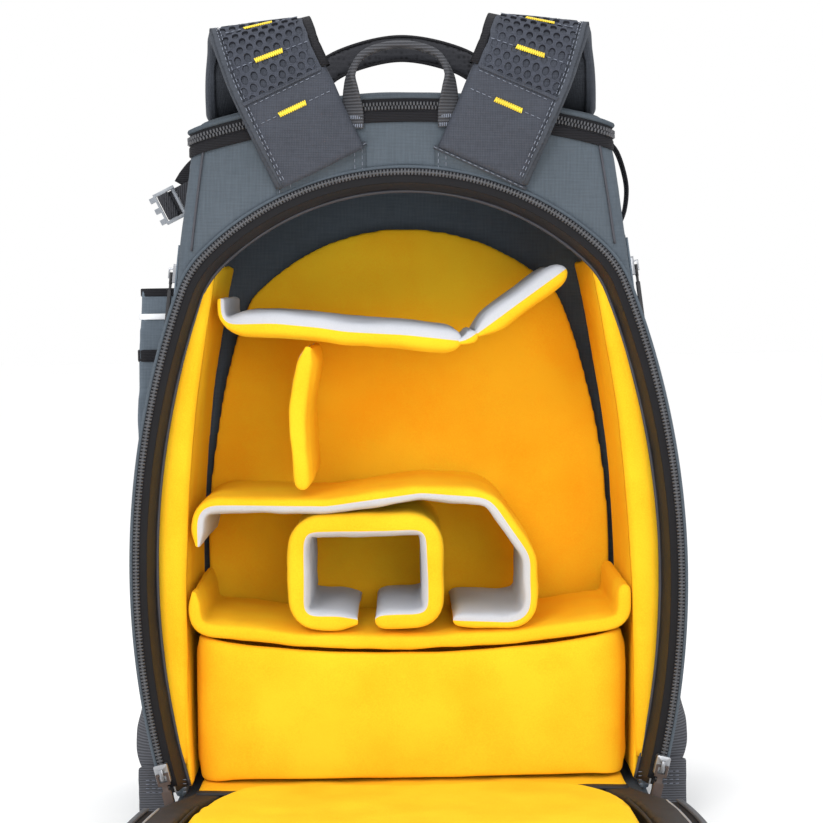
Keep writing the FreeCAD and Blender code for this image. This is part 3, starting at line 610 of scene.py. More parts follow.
def pad(name, centreline, thick, ends, materials, bend=0.0, plane="XZ", rim=EDGE_STEPS, tab=0.0):
    """Padded divider swept along a centreline, with rounded ends and its two faces in two cloths.

    rim counts the steps of the rounded edge that the second cloth keeps; tab is the length of a thin
    turned-up end.
    """
    low, high = ends
    half = thick / 2
    line = rounded(centreline, bend) if bend else evenly(centreline, 2.0)
    length = sum((b - a).length for a, b in zip(line, line[1:]))
    inner = max(2, round((length - 2 * half) / 6))
    distances = [0, 0.12 * half, 0.4 * half]
    distances += [half + (length - 2 * half) * i / inner for i in range(inner + 1)]
    distances += [length - 0.4 * half, length - 0.12 * half, length]
    fine = evenly(line, 1.0)
    count = round((high - low) / 6)
    stations = []
    for distance in distances:
        share = distance / length * (len(fine) - 1)
        index = min(int(share), len(fine) - 2)
        spot = fine[index].lerp(fine[index + 1], share - index)
        heading = fine[min(index + 3, len(fine) - 1)] - fine[max(index - 3, 0)]
        normal = Vector((-heading.y, heading.x)).normalized()
        near = min(distance, length - distance)
        squeeze = math.sqrt(max(0.06, 1 - (1 - min(near, half) / half) ** 2))
        if distance < tab:
            squeeze = min(squeeze, TAB_SHARE)
        elif distance < tab + thick:
            squeeze = TAB_SHARE + (1 - TAB_SHARE) * (distance - tab) / thick
        section = bar(high - low - half * (1 - squeeze), thick * squeeze, count, EDGE_STEPS, 0.6)
        middle = (low + high) / 2
        if plane == "XZ":
            place, out = Vector((spot.x, middle, spot.y)), Vector((normal.x, 0, normal.y))
        else:
            place, out = Vector((spot.x, spot.y, middle)), Vector((normal.x, normal.y, 0))
        stations.append((place, AHEAD if plane == "XZ" else UP, out, section))
    size, kept = len(stations[0][3]), EDGE_STEPS - rim
    inside = range(size // 2 + kept, size - kept)
    other = len(materials) - 1
    return sweep(name, stations, materials, sides=lambda part: other if round(part * size) in inside else 0)


# ---------- stitches, tapes and zips
def grain(points, faces, place, along, across, out, size, taper=0.7):
    """Adds one small rounded lug of (length, width, height) to a mesh in progress."""
    length, width, height = size
    base = len(points)
    for level, scale in ((0, 1.0), (0.55 * height, 1.0), (height, taper)):
        for a, b in ((-1, -1), (1, -1), (1, 1), (-1, 1)):
            side = place + along * (a * length / 2 * scale)
            points.append(side + across * (b * width / 2 * scale) + out * level)
    for ring in (0, 4):
        for j in range(4):
            k = (j + 1) % 4
            faces.append((base + ring + j, base + ring + k, base + ring + 4 + k, base + ring + 4 + j))
    faces.append((base + 8, base + 9, base + 10, base + 11))


def stitched(name, lines, material, stitch=2.6, gap=1.5, thick=0.5):
    """Rows of stitches; each line is a list of (place, across, out)."""
    points, faces = [], []
    for line in lines:
        spots = [spot[0] for spot in line]
        run = 0.0
        for (place, across, out), ahead in zip(line, spots[1:]):
            run += (ahead - place).length
            if run >= stitch + gap:
                run = 0.0
                along = (ahead - place).normalized()
                grain(points, faces, place, along, across, out, (stitch, thick, thick * 0.8), 0.6)
    return new_piece(name, points, faces, material)


def zip_rows(line, out_hint, rows, pitch):
    """Coil teeth along a line; each row is (offset across, tooth length)."""
    points, faces = [], []
    for place, across, out in frames_along(evenly(line, pitch), out_hint):
        along = out.cross(across)
        for number, (offset, reach) in enumerate(rows):
            shift = along * (pitch / 2 * (number % 2))
            grain(points, faces, place + across * offset + shift, along, across, out,
                  (pitch * 0.62, reach, 1.5), 0.75)
    return new_piece("teeth", points, faces, "coil")


def open_zip(name, node, line, tape_line, out_hint):
    """One half of an open zip: a row of teeth on a core, sewn to a tape."""
    teeth = zip_rows(line, out_hint, ((0, 4.6),), 2.5)
    core = cord("core", line, out_hint, 2.2, 2.0, "coil")
    tape = cord("tape", tape_line, out_hint, 10.5, 0.9, "tape")
    stands_for(joined(name, [teeth, core, tape]), node)


def closed_zip(name, node, line, tape_line, out_hint):
    """A closed zip: two rows of teeth side by side on a tape."""
    teeth = zip_rows(line, out_hint, ((-1.35, 3.0), (1.35, 3.0)), 2.4)
    tape = cord("tape", tape_line, out_hint, 15, 1.0, "tape")
    stands_for(joined(name, [teeth, tape]), node)


# ---------- the case
def make_shell():
    """Padded cloth panels of the case, each one soft and slightly creased."""
    panels = (
        ("yoke_panel", "yoke", 0.7, 60),
        # The side panels take the side cloth, lightened as painted sheen.
        ("left_side_panel", "side", 1.6, 75),
        ("right_side_panel", "side", 1.6, 75),
        ("front_panel", "shell", 1.3, 85),
        ("base_panel", "shell", 0.8, 70),
        ("lid_panel", "lid", 1.2, 80),
    )
    for seed, (node, material, height, size) in enumerate(panels):
        clothed(node + "_cloth", node, material, height, size, seed)


def make_seams():
    """Sewn seams where the yoke turns round to the sides, and down the front corners."""
    for name, side in SIDES:
        yoke = [Vector((side * (case_half_width(z) - 10), BACK - 0.2, z)) for z in range(424, 497, 4)]
        front = [Vector((side * (case_half_width(z) - 4.0), FRONT - 3.4, z)) for z in range(34, 497, 6)]
        seams = [cord("seam", yoke, REAR, 1.8, 1.6, "dark_piping"),
                 cord("seam", front, (side, 1, 0), 3.0, 2.8, "dark_piping")]
        belongs(joined(name + "_corner_seams", seams))


def loft(name, rings, material):
    """A skin through open rings of the same size, closed round from the last ring to the first."""
    size = len(rings[0])
    points = [point for ring in rings for point in ring]
    faces = []
    for i in range(len(rings)):
        k = (i + 1) % len(rings)
        for j in range(size - 1):
            faces.append((i * size + j, i * size + j + 1, k * size + j + 1, k * size + j))
    faces.append(tuple(i * size for i in range(len(rings))))
    faces.append(tuple(i * size + size - 1 for i in reversed(range(len(rings)))))
    return new_piece(name, points, faces, material, closed=True)


def make_gusset():
    """Black padded band that lines the opening, with piping on its inner edge and a sewn line by the zip."""
    profile = ((0.5, -115.6), (-2.5, -115.2), (-5.0, -111.5), (-6.8, -105), (-8.6, -98), (-11.0, -92.5),
               (-9.0, -88.5), (-4.5, -93), (1.0, -108))
    band = loft("gusset_band", [opening(grow, depth) for grow, depth in profile], "gusset")
    stands_for(wrinkle(band, 0.8, 26, 3, (1, 0.4, 1)), "opening_gusset")
    edge = cord("edge", opening(-11.6, -92), REAR, 2.8, 2.6, "dark_piping")
    seam = cord("seam", opening(-4.0, -114.6), REAR, 1.3, 1.2, "piping")
    belongs(joined("gusset_piping", [edge, seam]))


def make_case_zip():
    """The half of the door zip that stays on the case, and the rolled edge of cloth round it."""
    foot = CASE_ZIP_FOOT
    open_zip("case_zip", "door_zip_case_half", opening(0.9, -117.0, foot), opening(-1.6, -116.2, foot), REAR)
    rolled = cord("opening_rolled_edge", opening(4.6, -115.8, foot), REAR, 2.6, 2.2, "yoke")
    belongs(rolled)


def lid_line(level_shift, spread, end=85):
    """Line round the back and sides of the lid, spread out from the case by an amount."""
    half, back, corner = LID_REACH + spread, BACK - 1.2 - spread, LID_CORNER + spread
    plan = [(half, end), (half, back + corner)]
    plan += arc((half - corner, back + corner), corner, 0, -math.pi / 2, 6)
    plan += [(x, back) for x in range(round(half - corner), -round(half - corner) - 1, -6)]
    plan += arc((corner - half, back + corner), corner, -math.pi / 2, -math.pi, 6)
    plan += [(-half, back + corner), (-half, end)]
    return [Vector((x, y, lid_height(min(abs(x), LID_REACH)) + level_shift)) for x, y in plan]


def outwards(place):
    """Direction out of the case's wall at a place near its outline."""
    straight = 136
    if place.y > BACK + 15:
        return Vector((math.copysign(1, place.x), 0, 0.12))
    if abs(place.x) < straight:
        return REAR
    return Vector((place.x - math.copysign(straight, place.x), place.y - (BACK + LID_CORNER), 0)).normalized()


def make_lid_seam():
    """Closed zip round the lid, with a rolled edge above it and a dark band below it."""
    closed_zip("lid_zip", "lid_zip_chain", lid_line(0, 1.0), lid_line(0, 0.2), outwards)
    belongs(cord("lid_rolled_edge", lid_line(6.6, 0.9), outwards, 3.4, 3.0, "lid"))
    belongs(cord("lid_band", lid_line(-7.8, 0.5), outwards, 7.5, 2.0, "dark_binding"))


def side_line(side, low, high, y, spread):
    """Line up a side wall of the case."""
    levels = [low + (high - low) * i / 60 for i in range(61)]
    return [Vector((side * (case_half_width(z) + spread), y, z)) for z in levels]


def make_side_zips():
    """Closed zips of the side openings, and the cloth flaps that edge them."""
    for name, side in SIDES:
        out, line = (side, 0, 0), side_line(side, 110, 425, SIDE_ZIP_DEPTH, 1.6)
        tape_line = side_line(side, 104, 431, SIDE_ZIP_DEPTH, 1.0)
        closed_zip(name + "_side_zip", name + "_side_zip_chain", line, tape_line, out)
        # The flaps take the side cloth, lightened as painted sheen.
        flaps = [cord("flap", side_line(side, 106, 429, y, 1.8), out, 4.5, 1.8, "side") for y in (-86, -68.5)]
        belongs(joined(name + "_side_flaps", flaps))


def make_linings():
    """Soft yellow loop lining inside the case."""
    for seed, node in enumerate(("left_lining", "right_lining", "front_lining", "floor_lining")):
        clothed(node + "_cloth", node, "yellow", 1.1, 45, seed + 7, (1, 1, 0.5), 2.4, 5)
    for name, side in SIDES:
        make_flange(name, side)


def lining_face(level):
    """Distance from the middle to the inner face of a side lining."""
    reach, waist, radius = 165.5, 150, 1200
    return reach if level < waist else reach - radius + math.sqrt(radius ** 2 - (level - waist) ** 2)


def make_flange(name, side):
    """Front edge of a side lining, which turns out to meet the gusset and tapers away at its foot."""
    mouth = {round(z): x for x, z in arch(-10.5, SILL, 1.0) if x > 0}
    profile = ((-91.5, 1.0), (-93.0, 0.55), (-92.0, 0.15), (-88.5, -0.05), (-84.0, -0.08), (-86.0, 0.6))
    rings = []
    for depth, share in profile:
        ring = []
        for level in range(48, 413, 6):
            inner = lining_face(level)
            near = [mouth[z] for z in range(level - 3, level + 4) if z in mouth]
            outer = max(inner, max(near)) + 1.0
            ring.append((side * (inner + (outer - inner) * share), depth, level))
        rings.append(ring)
    flange = wrinkle(loft(name + "_lining_flange", rings, "yellow"), 0.9, 30, side + 3, (1, 1, 0.6))
    belongs(flange)


# ---------- dividers
DIVIDER_ENDS = (-88, 62)
SHELVES = (
    # name, centreline, thickness, corner radius, cloths, rim, thin end
    ("upper_shelf", [(-135.8, 390), (-135.8, 371), (-96, 370.5), (-60, 366.5), (-44, 364), (0, 360.5),
                     (42, 355)], 17.5, 9, ("pale", "yellow"), 3, 16),
    ("upper_shelf_flap", [(52, 360), (86, 384), (119, 407)], 15, 20, ("pale", "yellow"), 3, 0),
    ("upright_divider", [(-70, 354), (-79, 305), (-76, 248)], 12, 60, ("yellow", "pale"), 0, 0),
    ("middle_shelf", [(-156.5, 207), (-156.5, 238), (-60, 236), (10, 244), (62, 240), (91, 196), (89, 147),
                      (30, 150)], 10.5, 18, ("yellow", "pale"), 3, 0),
    ("lower_shelf", [(-159, 176), (-159, 148), (-80, 137), (0, 133), (80, 137), (159, 148), (159, 176)],
     10, 12, ("yellow",), 0, 0),
    ("lens_cell", [(-37, 150), (-81.5, 150), (-81.5, 221), (17.5, 221), (17.5, 150), (-27, 150)],
     14, 14, ("yellow", "pale"), 2, 0),
)


def make_fold():
    """Cloth that joins the upper shelf to its flap and rides with the shelf."""
    line = [(39.5, 355.2), (42, 355.4), (44.5, 356.2), (47, 357.4), (50, 359.2), (53, 361.2)]
    fold = pad("shelf_fold", line, 10.5, (-87, 61), ("pale", "yellow"))
    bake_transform(fold)
    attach(fold, "upper_shelf")


def make_dividers():
    """Foam dividers in loop cloth, yellow on one face and pale grey on the other."""
    for seed, (node, line, thick, bend, cloths, rim, tab) in enumerate(SHELVES):
        shelf = pad(node + "_pad", line, thick, DIVIDER_ENDS, cloths, bend, rim=rim, tab=tab)
        shelf = wrinkle(swell(shelf, 1.6), 0.9, 30, seed, (1, 0.5, 1))
        stands_for(shelf, node)
    make_fold()
    plan = [(-154.5, 70), (-154.5, -80.5), (154.5, -80.5), (154.5, 70)]
    foot, top, half_width = 31.5, 126, 0.155
    box = swell(pad("base_box_pad", plan, 10.0, (foot, top), ("yellow",), 16, "XY"), 1.4)
    for vertex in box.data.vertices:
        share = (vertex.co.z / MM - foot) / (top - foot)
        vertex.co.z += share * (1.5 + 12.5 * (vertex.co.x / half_width) ** 2) * MM
    stands_for(wrinkle(box, 1.0, 60, 9), "base_box")


# ---------- the door
def door_line(grow, height):
    """Outline of the opening pushed outwards by grow, laid flat behind the hinge at a height."""
    return [Vector((x, HINGE_DEPTH - level, height)) for x, level in arch(grow, DOOR_ZIP_FOOT)]


def make_door():
    """Padded door lying open: rim, yellow pad, cover, back pads, its half of the zip and its sewn edges."""
    clothed("door_rim_band", "door_rim", "gusset", 0.9, 35, 2, voxel=2.4, rounds=4)
    lining = soften("door_lining_cushion", "door_lining_pad", "yellow", 4.5, 5)
    lining = wrinkle(swell(lining, 9), 1.6, 60, 5)
    stands_for(lining, "door_lining_pad")
    stiffener = frame["nodes"]["door_stiffener"].data.materials
    stiffener.clear()
    stiffener.append(MATERIALS["board"])
    clothed("door_cover_cloth", "door_outer_cover", "shell", 0.6, 50, 6, voxel=3.2, rounds=5)
    backs = soften("door_back_cushions", "door_back_pads", "air_mesh", 3.0, 5)
    stands_for(wrinkle(swell(backs, 1.2), 0.4, 30, 3), "door_back_pads")
    open_zip("door_zip", "door_zip_door_half", door_line(0.9, 31.2), door_line(-2.0, 30.2), UP)
    # Sewn edges of the rim: grow, height, width, thickness, material.
    edges = ((-35, 32.5, 2.6, 2.4, "brown_binding"), (-8, 31.8, 1.8, 1.6, "piping"),
             (-5.0, 18, 2.4, 2.4, "dark_piping"), (-5.0, 9, 2.4, 2.4, "dark_piping"))
    cords = [cord("edge", door_line(grow, height), UP, width, thick, material)
             for grow, height, width, thick, material in edges]
    belongs(joined("door_piping", cords), "door")


def make_hinge():
    """Cloth strip that joins the door to the foot of the opening and rides with the case."""
    rows = ((-113.5, 28.0), (-115.5, 32.6), (-118.5, 33.4), (-122, 33.2), (-126, 33.0))
    half, count = 156, 52
    points, faces = [], []
    for layer in (0.0, -2.2):
        for y, z in rows:
            for i in range(count + 1):
                x = -half + 2 * half * i / count
                points.append((x, y, z + layer + 0.35 * math.sin(x / 9) * (layer == 0)))
    wide = count + 1
    for layer in (0, len(rows)):
        for r in range(len(rows) - 1):
            for i in range(count):
                a = (layer + r) * wide + i
                faces.append((a, a + 1, a + 1 + wide, a + wide))
    border = list(range(wide)) + [r * wide + count for r in range(1, len(rows))]
    border += [(len(rows) - 1) * wide + i for i in reversed(range(count))]
    border += [r * wide for r in reversed(range(1, len(rows) - 1))]
    under = len(rows) * wide
    for a, b in zip(border, border[1:] + border[:1]):
        faces.append((a, b, b + under, a + under))
    strip = new_piece("door_hinge_cloth", points, faces, "gusset", closed=True)
    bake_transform(strip)
    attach(strip, "case")


# ---------- straps and handles
# Left shoulder strap from the yoke over the top and down the front: place, across, width, thickness.
STRAP = (
    (-57, -119.7, 481, 0.906, 0, 0.42, 70, 9), (-66, -123, 500, 0.906, 0, 0.42, 70, 11),
    (-77, -127, 524, 0.906, 0, 0.42, 70, 13), (-89, -126, 551, 0.93, 0, 0.36, 70, 13),
    (-96, -116, 570, 0.96, 0, 0.25, 70, 13), (-101, -100, 580, 0.98, 0, 0.15, 70, 13),
    (-105, -82, 579, 1, 0, 0.10, 68, 13), (-108, -66, 567, 1, 0, 0.14, 66, 13),
    (-111, -54, 549, 1, 0, 0.20, 66, 13), (-114, -38, 537.5, 1, 0, 0.24, 64, 13),
    (-116, -10, 534.5, 1, 0, 0.24, 64, 13), (-118, 60, 534, 1, 0, 0.24, 64, 13),
    (-119, 92, 533, 1, 0, 0.20, 64, 13), (-119, 110, 524, 1, 0, 0.10, 64, 13),
    (-119, 117, 505, 1, 0, 0, 64, 13), (-119, 116, 470, 1, 0, 0, 60, 13), (-119, 115, 425, 1, 0, 0, 46, 10),
)
STRAP_SEAMS = (47, 86, 118, 170, 222, 274, 326)
MESH_START = 64
# Strap webbing on the left, from under the padded strap to the wing at the base.
WEBBING = (
    (-120, 114, 418, 1, 0, 0), (-120, 114, 396, 1, 0, 0), (-138, 112, 372, 0.98, 0.2, 0),
    (-168, 112, 342, 0.9, 0.45, 0), (-185, 103, 316, 0.5, 0.86, 0), (-197, 84, 278, 0.2, 0.98, 0),
    (-204.5, 52, 214, 0, 1, 0), (-204, 10, 148, 0, 1, 0), (-202, -35, 100, 0, 1, 0),
    (-199, -72, 72, -0.5, 0.86, 0), (-191, -94, 53, -0.95, 0.3, 0), (-184, -97, 40, -0.98, 0.1, 0),
)


class Ribbon:
    """A smooth band through stations of place, across, width and thickness, on either side of the bag."""

    def __init__(self, stations, side=-1, width=None, thick=None):
        rows = through(stations, 2.0)
        flip = Vector((-side, 1, 1))
        self.frames, self.sizes, self.runs = [], [], []
        run = 0.0
        for i, row in enumerate(rows):
            place = Vector(row[:3])
            before, after = Vector(rows[max(i - 1, 0)][:3]), Vector(rows[min(i + 1, len(rows) - 1)][:3])
            tangent = (after - before).normalized()
            across = Vector(row[3:6])
            across = (across - tangent * across.dot(tangent)).normalized()
            out = across.cross(tangent)
            run += (place - before).length if i else 0.0
            self.frames.append(tuple(v * flip for v in (place, across, out)))
            self.sizes.append((width or row[6], thick or row[7]))
            self.runs.append(run)
        self.length = run

    def at(self, run):
        """Place, across, out, width and thickness at a distance along."""
        index = 0
        while index < len(self.runs) - 2 and self.runs[index + 1] < run:
            index += 1
        k = (run - self.runs[index]) / (self.runs[index + 1] - self.runs[index])
        a, b = self.frames[index], self.frames[index + 1]
        width, thick = (p + (q - p) * k for p, q in zip(self.sizes[index], self.sizes[index + 1]))
        return a[0].lerp(b[0], k), a[1].lerp(b[1], k), a[2].lerp(b[2], k), width, thick

    def point(self, run, u, v):
        """A point u across from the middle and v above the middle surface."""
        place, across, out, _, _ = self.at(run)
        return place + across * u + out * v

    def spots(self, start, end, u, v, step):
        """(place, across, out) along the band at a distance across and a height."""
        count = max(1, round((end - start) / step))
        line = []
        for i in range(count + 1):
            place, across, out, _, _ = self.at(start + (end - start) * i / count)
            line.append((place + across * u + out * v, across, out))
        return line

    def row(self, run, low, high, v, step=0.5):
        """(place, across, out) straight across the band."""
        place, across, out, _, _ = self.at(run)
        tangent = out.cross(across)
        count = round((high - low) / step)
        return [(place + across * (low + (high - low) * i / count) + out * v, tangent, out)
                for i in range(count + 1)]

    def swept(self, name, start, end, materials, size, step=4.0, sides=None, count=10):
        """The band's skin; size gives (shift, lift, width, thickness) from a run, width and thickness."""
        pieces = max(2, round((end - start) / step))
        stations = []
        for i in range(pieces + 1):
            run = start + (end - start) * i / pieces
            place, across, out, width, thick = self.at(run)
            shift, lift, wide, deep = size(run, width, thick)
            stations.append((place + across * shift + out * lift, across, out, bar(wide, deep, count)))
        return sweep(name, stations, materials, sides=sides)


def dent(run):
    """How much thinner a strap is where it is sewn through, from 0 to 1."""
    return max([math.exp(-((run - seam) / 4.5) ** 2) for seam in STRAP_SEAMS])


def honeycomb(name, ribbon, start, end, pitch=7.4, margin=7.0):
    """Thick knitted mesh with cells, moulded over the top of a strap; the lower wall and the floor of each
    cell are a dark sheet of painted shadow.
    """
    points, faces, marks = [], [], []
    rings = ((1.0, 1.0, 0.4), (0.76, 0.88, 1.0), (0.62, 0.74, 0.6), (0.54, 0.66, -2.4))
    corners, turn = 12, math.pi / 6
    rows = int((end - start) / (pitch * 0.866))
    for row in range(rows + 1):
        run = start + (end - start) * row / rows
        width, thick = ribbon.at(run)[3:]
        reach = width / 2 - margin
        cells = int(2 * reach / pitch) + 1
        for cell in range(-cells, cells + 1):
            middle = (cell + 0.5 * (row % 2)) * pitch
            if abs(middle) > reach - 0.25 * pitch:
                continue
            base = len(points)
            for wide, long, height in rings:
                for i in range(corners):
                    angle = turn * i + turn
                    radius = pitch / math.sqrt(3) if i % 2 == 0 else pitch / 2
                    if wide < 1:
                        radius = pitch / math.sqrt(3) * 0.92
                    u = middle + radius * math.cos(angle) * wide
                    s = run + radius * math.sin(angle) * long
                    u, s = max(-reach, min(reach, u)), max(start, min(end, s))
                    sunk = 2.2 * dent(s)
                    crown = 1.2 * (u / (width / 2)) ** 2
                    points.append(ribbon.point(s, u, thick / 2 + 0.7 + height - sunk - crown))
            for ring in range(3):
                for i in range(corners):
                    k = (i + 1) % corners
                    a, b = base + ring * corners, base + (ring + 1) * corners
                    faces.append((a + i, a + k, b + k, b + i))
                    # The lowest ring of wall in each cell takes the painted shadow.
                    marks.append(0 if ring < 2 else 1)
            # A dark cap at the bottom of each cell: painted shadow.
            faces.append(tuple(base + 3 * corners + i for i in range(corners)))
            marks.append(1)
    mesh = new_piece(name, points, faces, ("comb", "hole_shadow"), marks)
    mend(mesh.data, 0.05)
    return mesh


def bartack(points, faces, ribbon, run, v, half=10.0):
    """Dense block of thread across a strap."""
    count = round(2 * half / 0.8)
    place, across, out, _, _ = ribbon.at(run)
    tangent = out.cross(across)
    for i in range(count + 1):
        u = -half + 2 * half * i / count
        slant = (tangent + across * (0.16 if i % 2 else -0.16)).normalized()
        grain(points, faces, place + across * u + out * v, slant, slant.cross(out), out,
              (3.8, 0.85, 0.9), 0.8)


def make_straps():
    """Padded shoulder straps: cloth body, bound edges, honeycomb mesh, stitching and yellow bartacks."""

    def body_size(run, width, thick):
        return 0, 0, width - 1.5, thick - 1.4 - 2.6 * dent(run)

    def outer_size(run, width, thick):
        return -width / 2 + 3.6, 0, 8.6, thick + 0.9 - 1.4 * dent(run)

    def inner_size(run, width, thick):
        return width / 2 - 1.3, 0, 3.2, thick * 0.8 - 1.2 * dent(run)

    def hem_size(run, width, thick):
        return 0, thick / 2 + 0.3, width - 9, 2.0

    for name, side in SIDES:
        ribbon = Ribbon(STRAP, side)
        end = ribbon.length
        body = ribbon.swept(name + "_strap_body", 0, end, ("strap", "strap_back"), body_size,
                            sides=lambda part: 0 if part < 0.5 else 1)
        stands_for(wrinkle(body, 0.5, 28, side + 2), name + "_shoulder_strap")
        outer = ribbon.swept("outer", 1, end - 1, "binding", outer_size, count=3)
        inner = ribbon.swept("inner", MESH_START, end - 1, "dark_binding", inner_size, count=3)
        belongs(joined(name + "_strap_binding", [outer, inner]))
        belongs(honeycomb(name + "_strap_honeycomb", ribbon, MESH_START, end - 22))
        thick = ribbon.at(MESH_START)[4]
        lines = [ribbon.row(MESH_START - 3.2, -26, 31, thick / 2 - 0.2)]
        for seam in STRAP_SEAMS:
            lift = thick / 2 - 1.4 if seam < MESH_START else thick / 2 - 0.6
            for low, high in ((-27, -10.5), (10.5, 31)):
                lines.append(ribbon.row(seam, low, high, lift))
        for u in (-27.6, -29.6):
            lines.append(ribbon.spots(3, end - 4, u, thick / 2 + 0.2, 0.8))
        belongs(stitched(name + "_strap_stitches", lines, "thread"))
        hem = ribbon.swept(name + "_mesh_hem", MESH_START - 1.6, MESH_START + 0.8, "strap", hem_size,
                           step=0.8)
        belongs(hem)
        points, faces = [], []
        for seam in STRAP_SEAMS:
            bartack(points, faces, ribbon, seam, thick / 2 - (1.6 if seam < MESH_START else 0.4))
        tacks = new_piece(name + "_bartacks", points, faces, "yellow_thread", closed=True)
        belongs(tacks)
        make_anchor(name, ribbon)


def make_anchor(name, ribbon):
    """Patch over the sewn end of a strap: rolled along its top, and running down to the opening."""
    place, across, out, _, _ = ribbon.at(0)
    tangent = out.cross(across)
    reach, count = 36, 24
    top = [place + across * (reach * (2 * i / count - 1)) + tangent * 2 for i in range(count + 1)]
    foot = [CROWN_CENTRE[1] + math.sqrt((CROWN_RADIUS + 4.2) ** 2 - spot.x ** 2) for spot in top]
    rings = []
    for share, lift in ((0.0, 5.2), (0.12, 4.6), (0.4, 2.4), (0.75, 1.5), (1.0, 1.2), (1.0, -3), (0.0, -3)):
        ring = []
        for i, (spot, level) in enumerate(zip(top, foot)):
            slope = 1 - 0.5 * abs(2 * i / count - 1) ** 4
            ring.append((spot.x, BACK - lift * (slope if lift > 0 else 1), spot.z + (level - spot.z) * share))
        rings.append(ring)
    patch = wrinkle(loft(name + "_anchor_patch", rings, "patch"), 0.5, 18, 5)
    belongs(patch)
    roll = [Vector((x, y - 0.6, z + 0.5)) for x, y, z in rings[0]]
    belongs(cord(name + "_anchor_roll", roll, out, 3.0, 2.6, "binding"))
    lines = [[(spot + out * 1.4, tangent, out) for spot in evenly(roll, 0.5)]]
    for i in (1, 4, count - 3, count - 1):
        fall = [Vector(rings[row][i]) for row in range(5)]
        lines.append([(spot - Vector((0, 0.4, 0)), ACROSS, REAR) for spot in evenly(fall, 0.5)])
    belongs(stitched(name + "_anchor_stitches", lines, "thread"))


def make_carry_handle():
    """Webbing loop that twists from flat against the lid to edge-on at its top."""
    leg = [(-34, -118.2, 509, 1, 0, 0, 15, 2.2), (-34, -119.0, 522, 1, -0.2, 0, 15, 2.4),
           (-35, -122.5, 536, 0.75, -0.66, 0, 14, 3.2), (-34, -125, 549, 0.2, -0.98, 0, 13, 4.6),
           (-24, -125, 562, 0, -1, 0, 13, 5.0)]
    far = [(-x, y, z, -abs(a), -abs(b), c, w, t) for x, y, z, a, b, c, w, t in reversed(leg)]
    ribbon = Ribbon(leg + [(0, -125, 567.5, 0, -1, 0, 13, 5.0)] + far)
    loop = ribbon.swept("carry_handle_webbing", 0, ribbon.length, "handle_webbing",
                        lambda run, width, thick: (0, 0, width, thick), 3.0, count=3)
    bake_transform(loop)
    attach(loop, "case")
    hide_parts("carry_handle", "carry_handle_tails")
    points, faces = [], []
    for x in (-34, 34):
        for level in (511, 517):
            for i in range(9):
                place = Vector((x - 6 + 1.5 * i, -119.6, level))
                grain(points, faces, place, UP, ACROSS, REAR, (2.6, 0.9, 0.6))
    belongs(new_piece("handle_tacks", points, faces, "thread"))


def make_grab_handle():
    """Padded mesh arch behind the lid, with a piped seam along its top."""
    centre = [(x, 92, z) for x, z in ((-72, 541), (-70, 560), (-46, 578), (0, 588), (46, 578), (70, 560),
                                      (72, 541))]
    spots = frames_along(through(centre, 4.0), REAR)
    section = bar(20, 11, 3, 4)
    arch_pad = sweep("grab_handle_pad", [(*spot, section) for spot in spots], "air_mesh")
    stands_for(wrinkle(arch_pad, 0.7, 20, 8), "grab_handle")
    rolls = []
    for shift in (-9.6, 9.6):
        edge = [place + across * shift + out * 3.4 for place, across, out in spots]
        rolls.append(cord("roll", edge, REAR, 2.6, 2.6, "dark_binding"))
    belongs(joined("grab_handle_piping", rolls), "grab_handle")


def make_webbing():
    """Strap webbing down each side, its adjusters and the stitched wings it is sewn to."""
    for name, side in SIDES:
        ribbon = Ribbon(WEBBING, side, 20, 2)
        band = ribbon.swept(name + "_webbing", 0, ribbon.length, "grey_webbing",
                            lambda run, width, thick: (0, 0, width, thick), 4.0, count=4)
        stands_for(band, name + "_strap_webbing")
        clothed(name + "_wing_cloth", name + "_wing", "grey_webbing", 0.3, 15, side, voxel=1.4, rounds=3)
        bevelled(name + "_adjuster_ladder", name + "_strap_adjuster", "plastic", 0.9)
        start, depth = 163, -100.4
        lines = [[(Vector((side * (start + i * 0.5), depth, level)), UP, REAR) for i in range(70)]
                 for level in (38, 35, 32, 29)]
        belongs(stitched(name + "_wing_stitches", lines, "thread"))


PULL = Vector((math.sin(math.radians(64)), 0, math.cos(math.radians(64))))
BUCKLE_EDGE = Vector((-168.7, -20, 464.8))


def make_compression():
    """Left buckle with webbing round its middle bar, the strap that holds it, and the loop on the right."""
    bevelled("compression_buckle", "left_compression_buckle", "buckle", 0.7)

    def spot(reach, depth):
        return BUCKLE_EDGE + PULL * reach + Vector((0, depth, 0))

    bar_reach, half = -10, 3.9
    near, far = bar_reach + half, bar_reach - half
    corners = [(bar_reach, -half), (far, -half), (far, half), (near, half), (near, -half), (bar_reach, -half)]
    path = rounded(corners, 1.6, 0.8)
    middle = spot(bar_reach, 0)
    wrap = cord("wrap", [spot(p.x, p.y) for p in path], lambda place: place - middle, 19.6, 1.4,
                "buckle_webbing")
    below = [spot(reach, 2.6) for reach in (-0.6, -2.5, -4.5, -6.5)]
    under = cord("under", below, REAR, 19.6, 1.4, "buckle_webbing")
    belongs(joined("buckle_webbing", [wrap, under]), "left_compression_buckle")
    pull = cord("pull", [spot(reach, 0) for reach in (22, 16, 10, 5, 0.1)], REAR, 20, 2.0, "buckle_webbing")
    line = [(-153, -18.4, 493), (-158.5, -18.4, 488), (-163.5, -18.4, 482), (-167.2, -18.4, 476)]
    riser = cord("riser", through(line, 3.0), REAR, 13, 1.8, "black_webbing")
    stands_for(joined("compression_webbing", [pull, riser]), "left_compression_strap")
    right = [(x, -20, z) for x, z in ((156, 504), (163, 495), (168, 480), (170, 466), (168, 450), (163, 438))]
    stands_for(cord("compression_loop", through(right, 3.0), (1, 0, 0.2), 20, 2.0, "black_webbing"),
               "right_compression_loop")


# ---------- pockets, sliders and pullers
POCKET_EDGE = 61


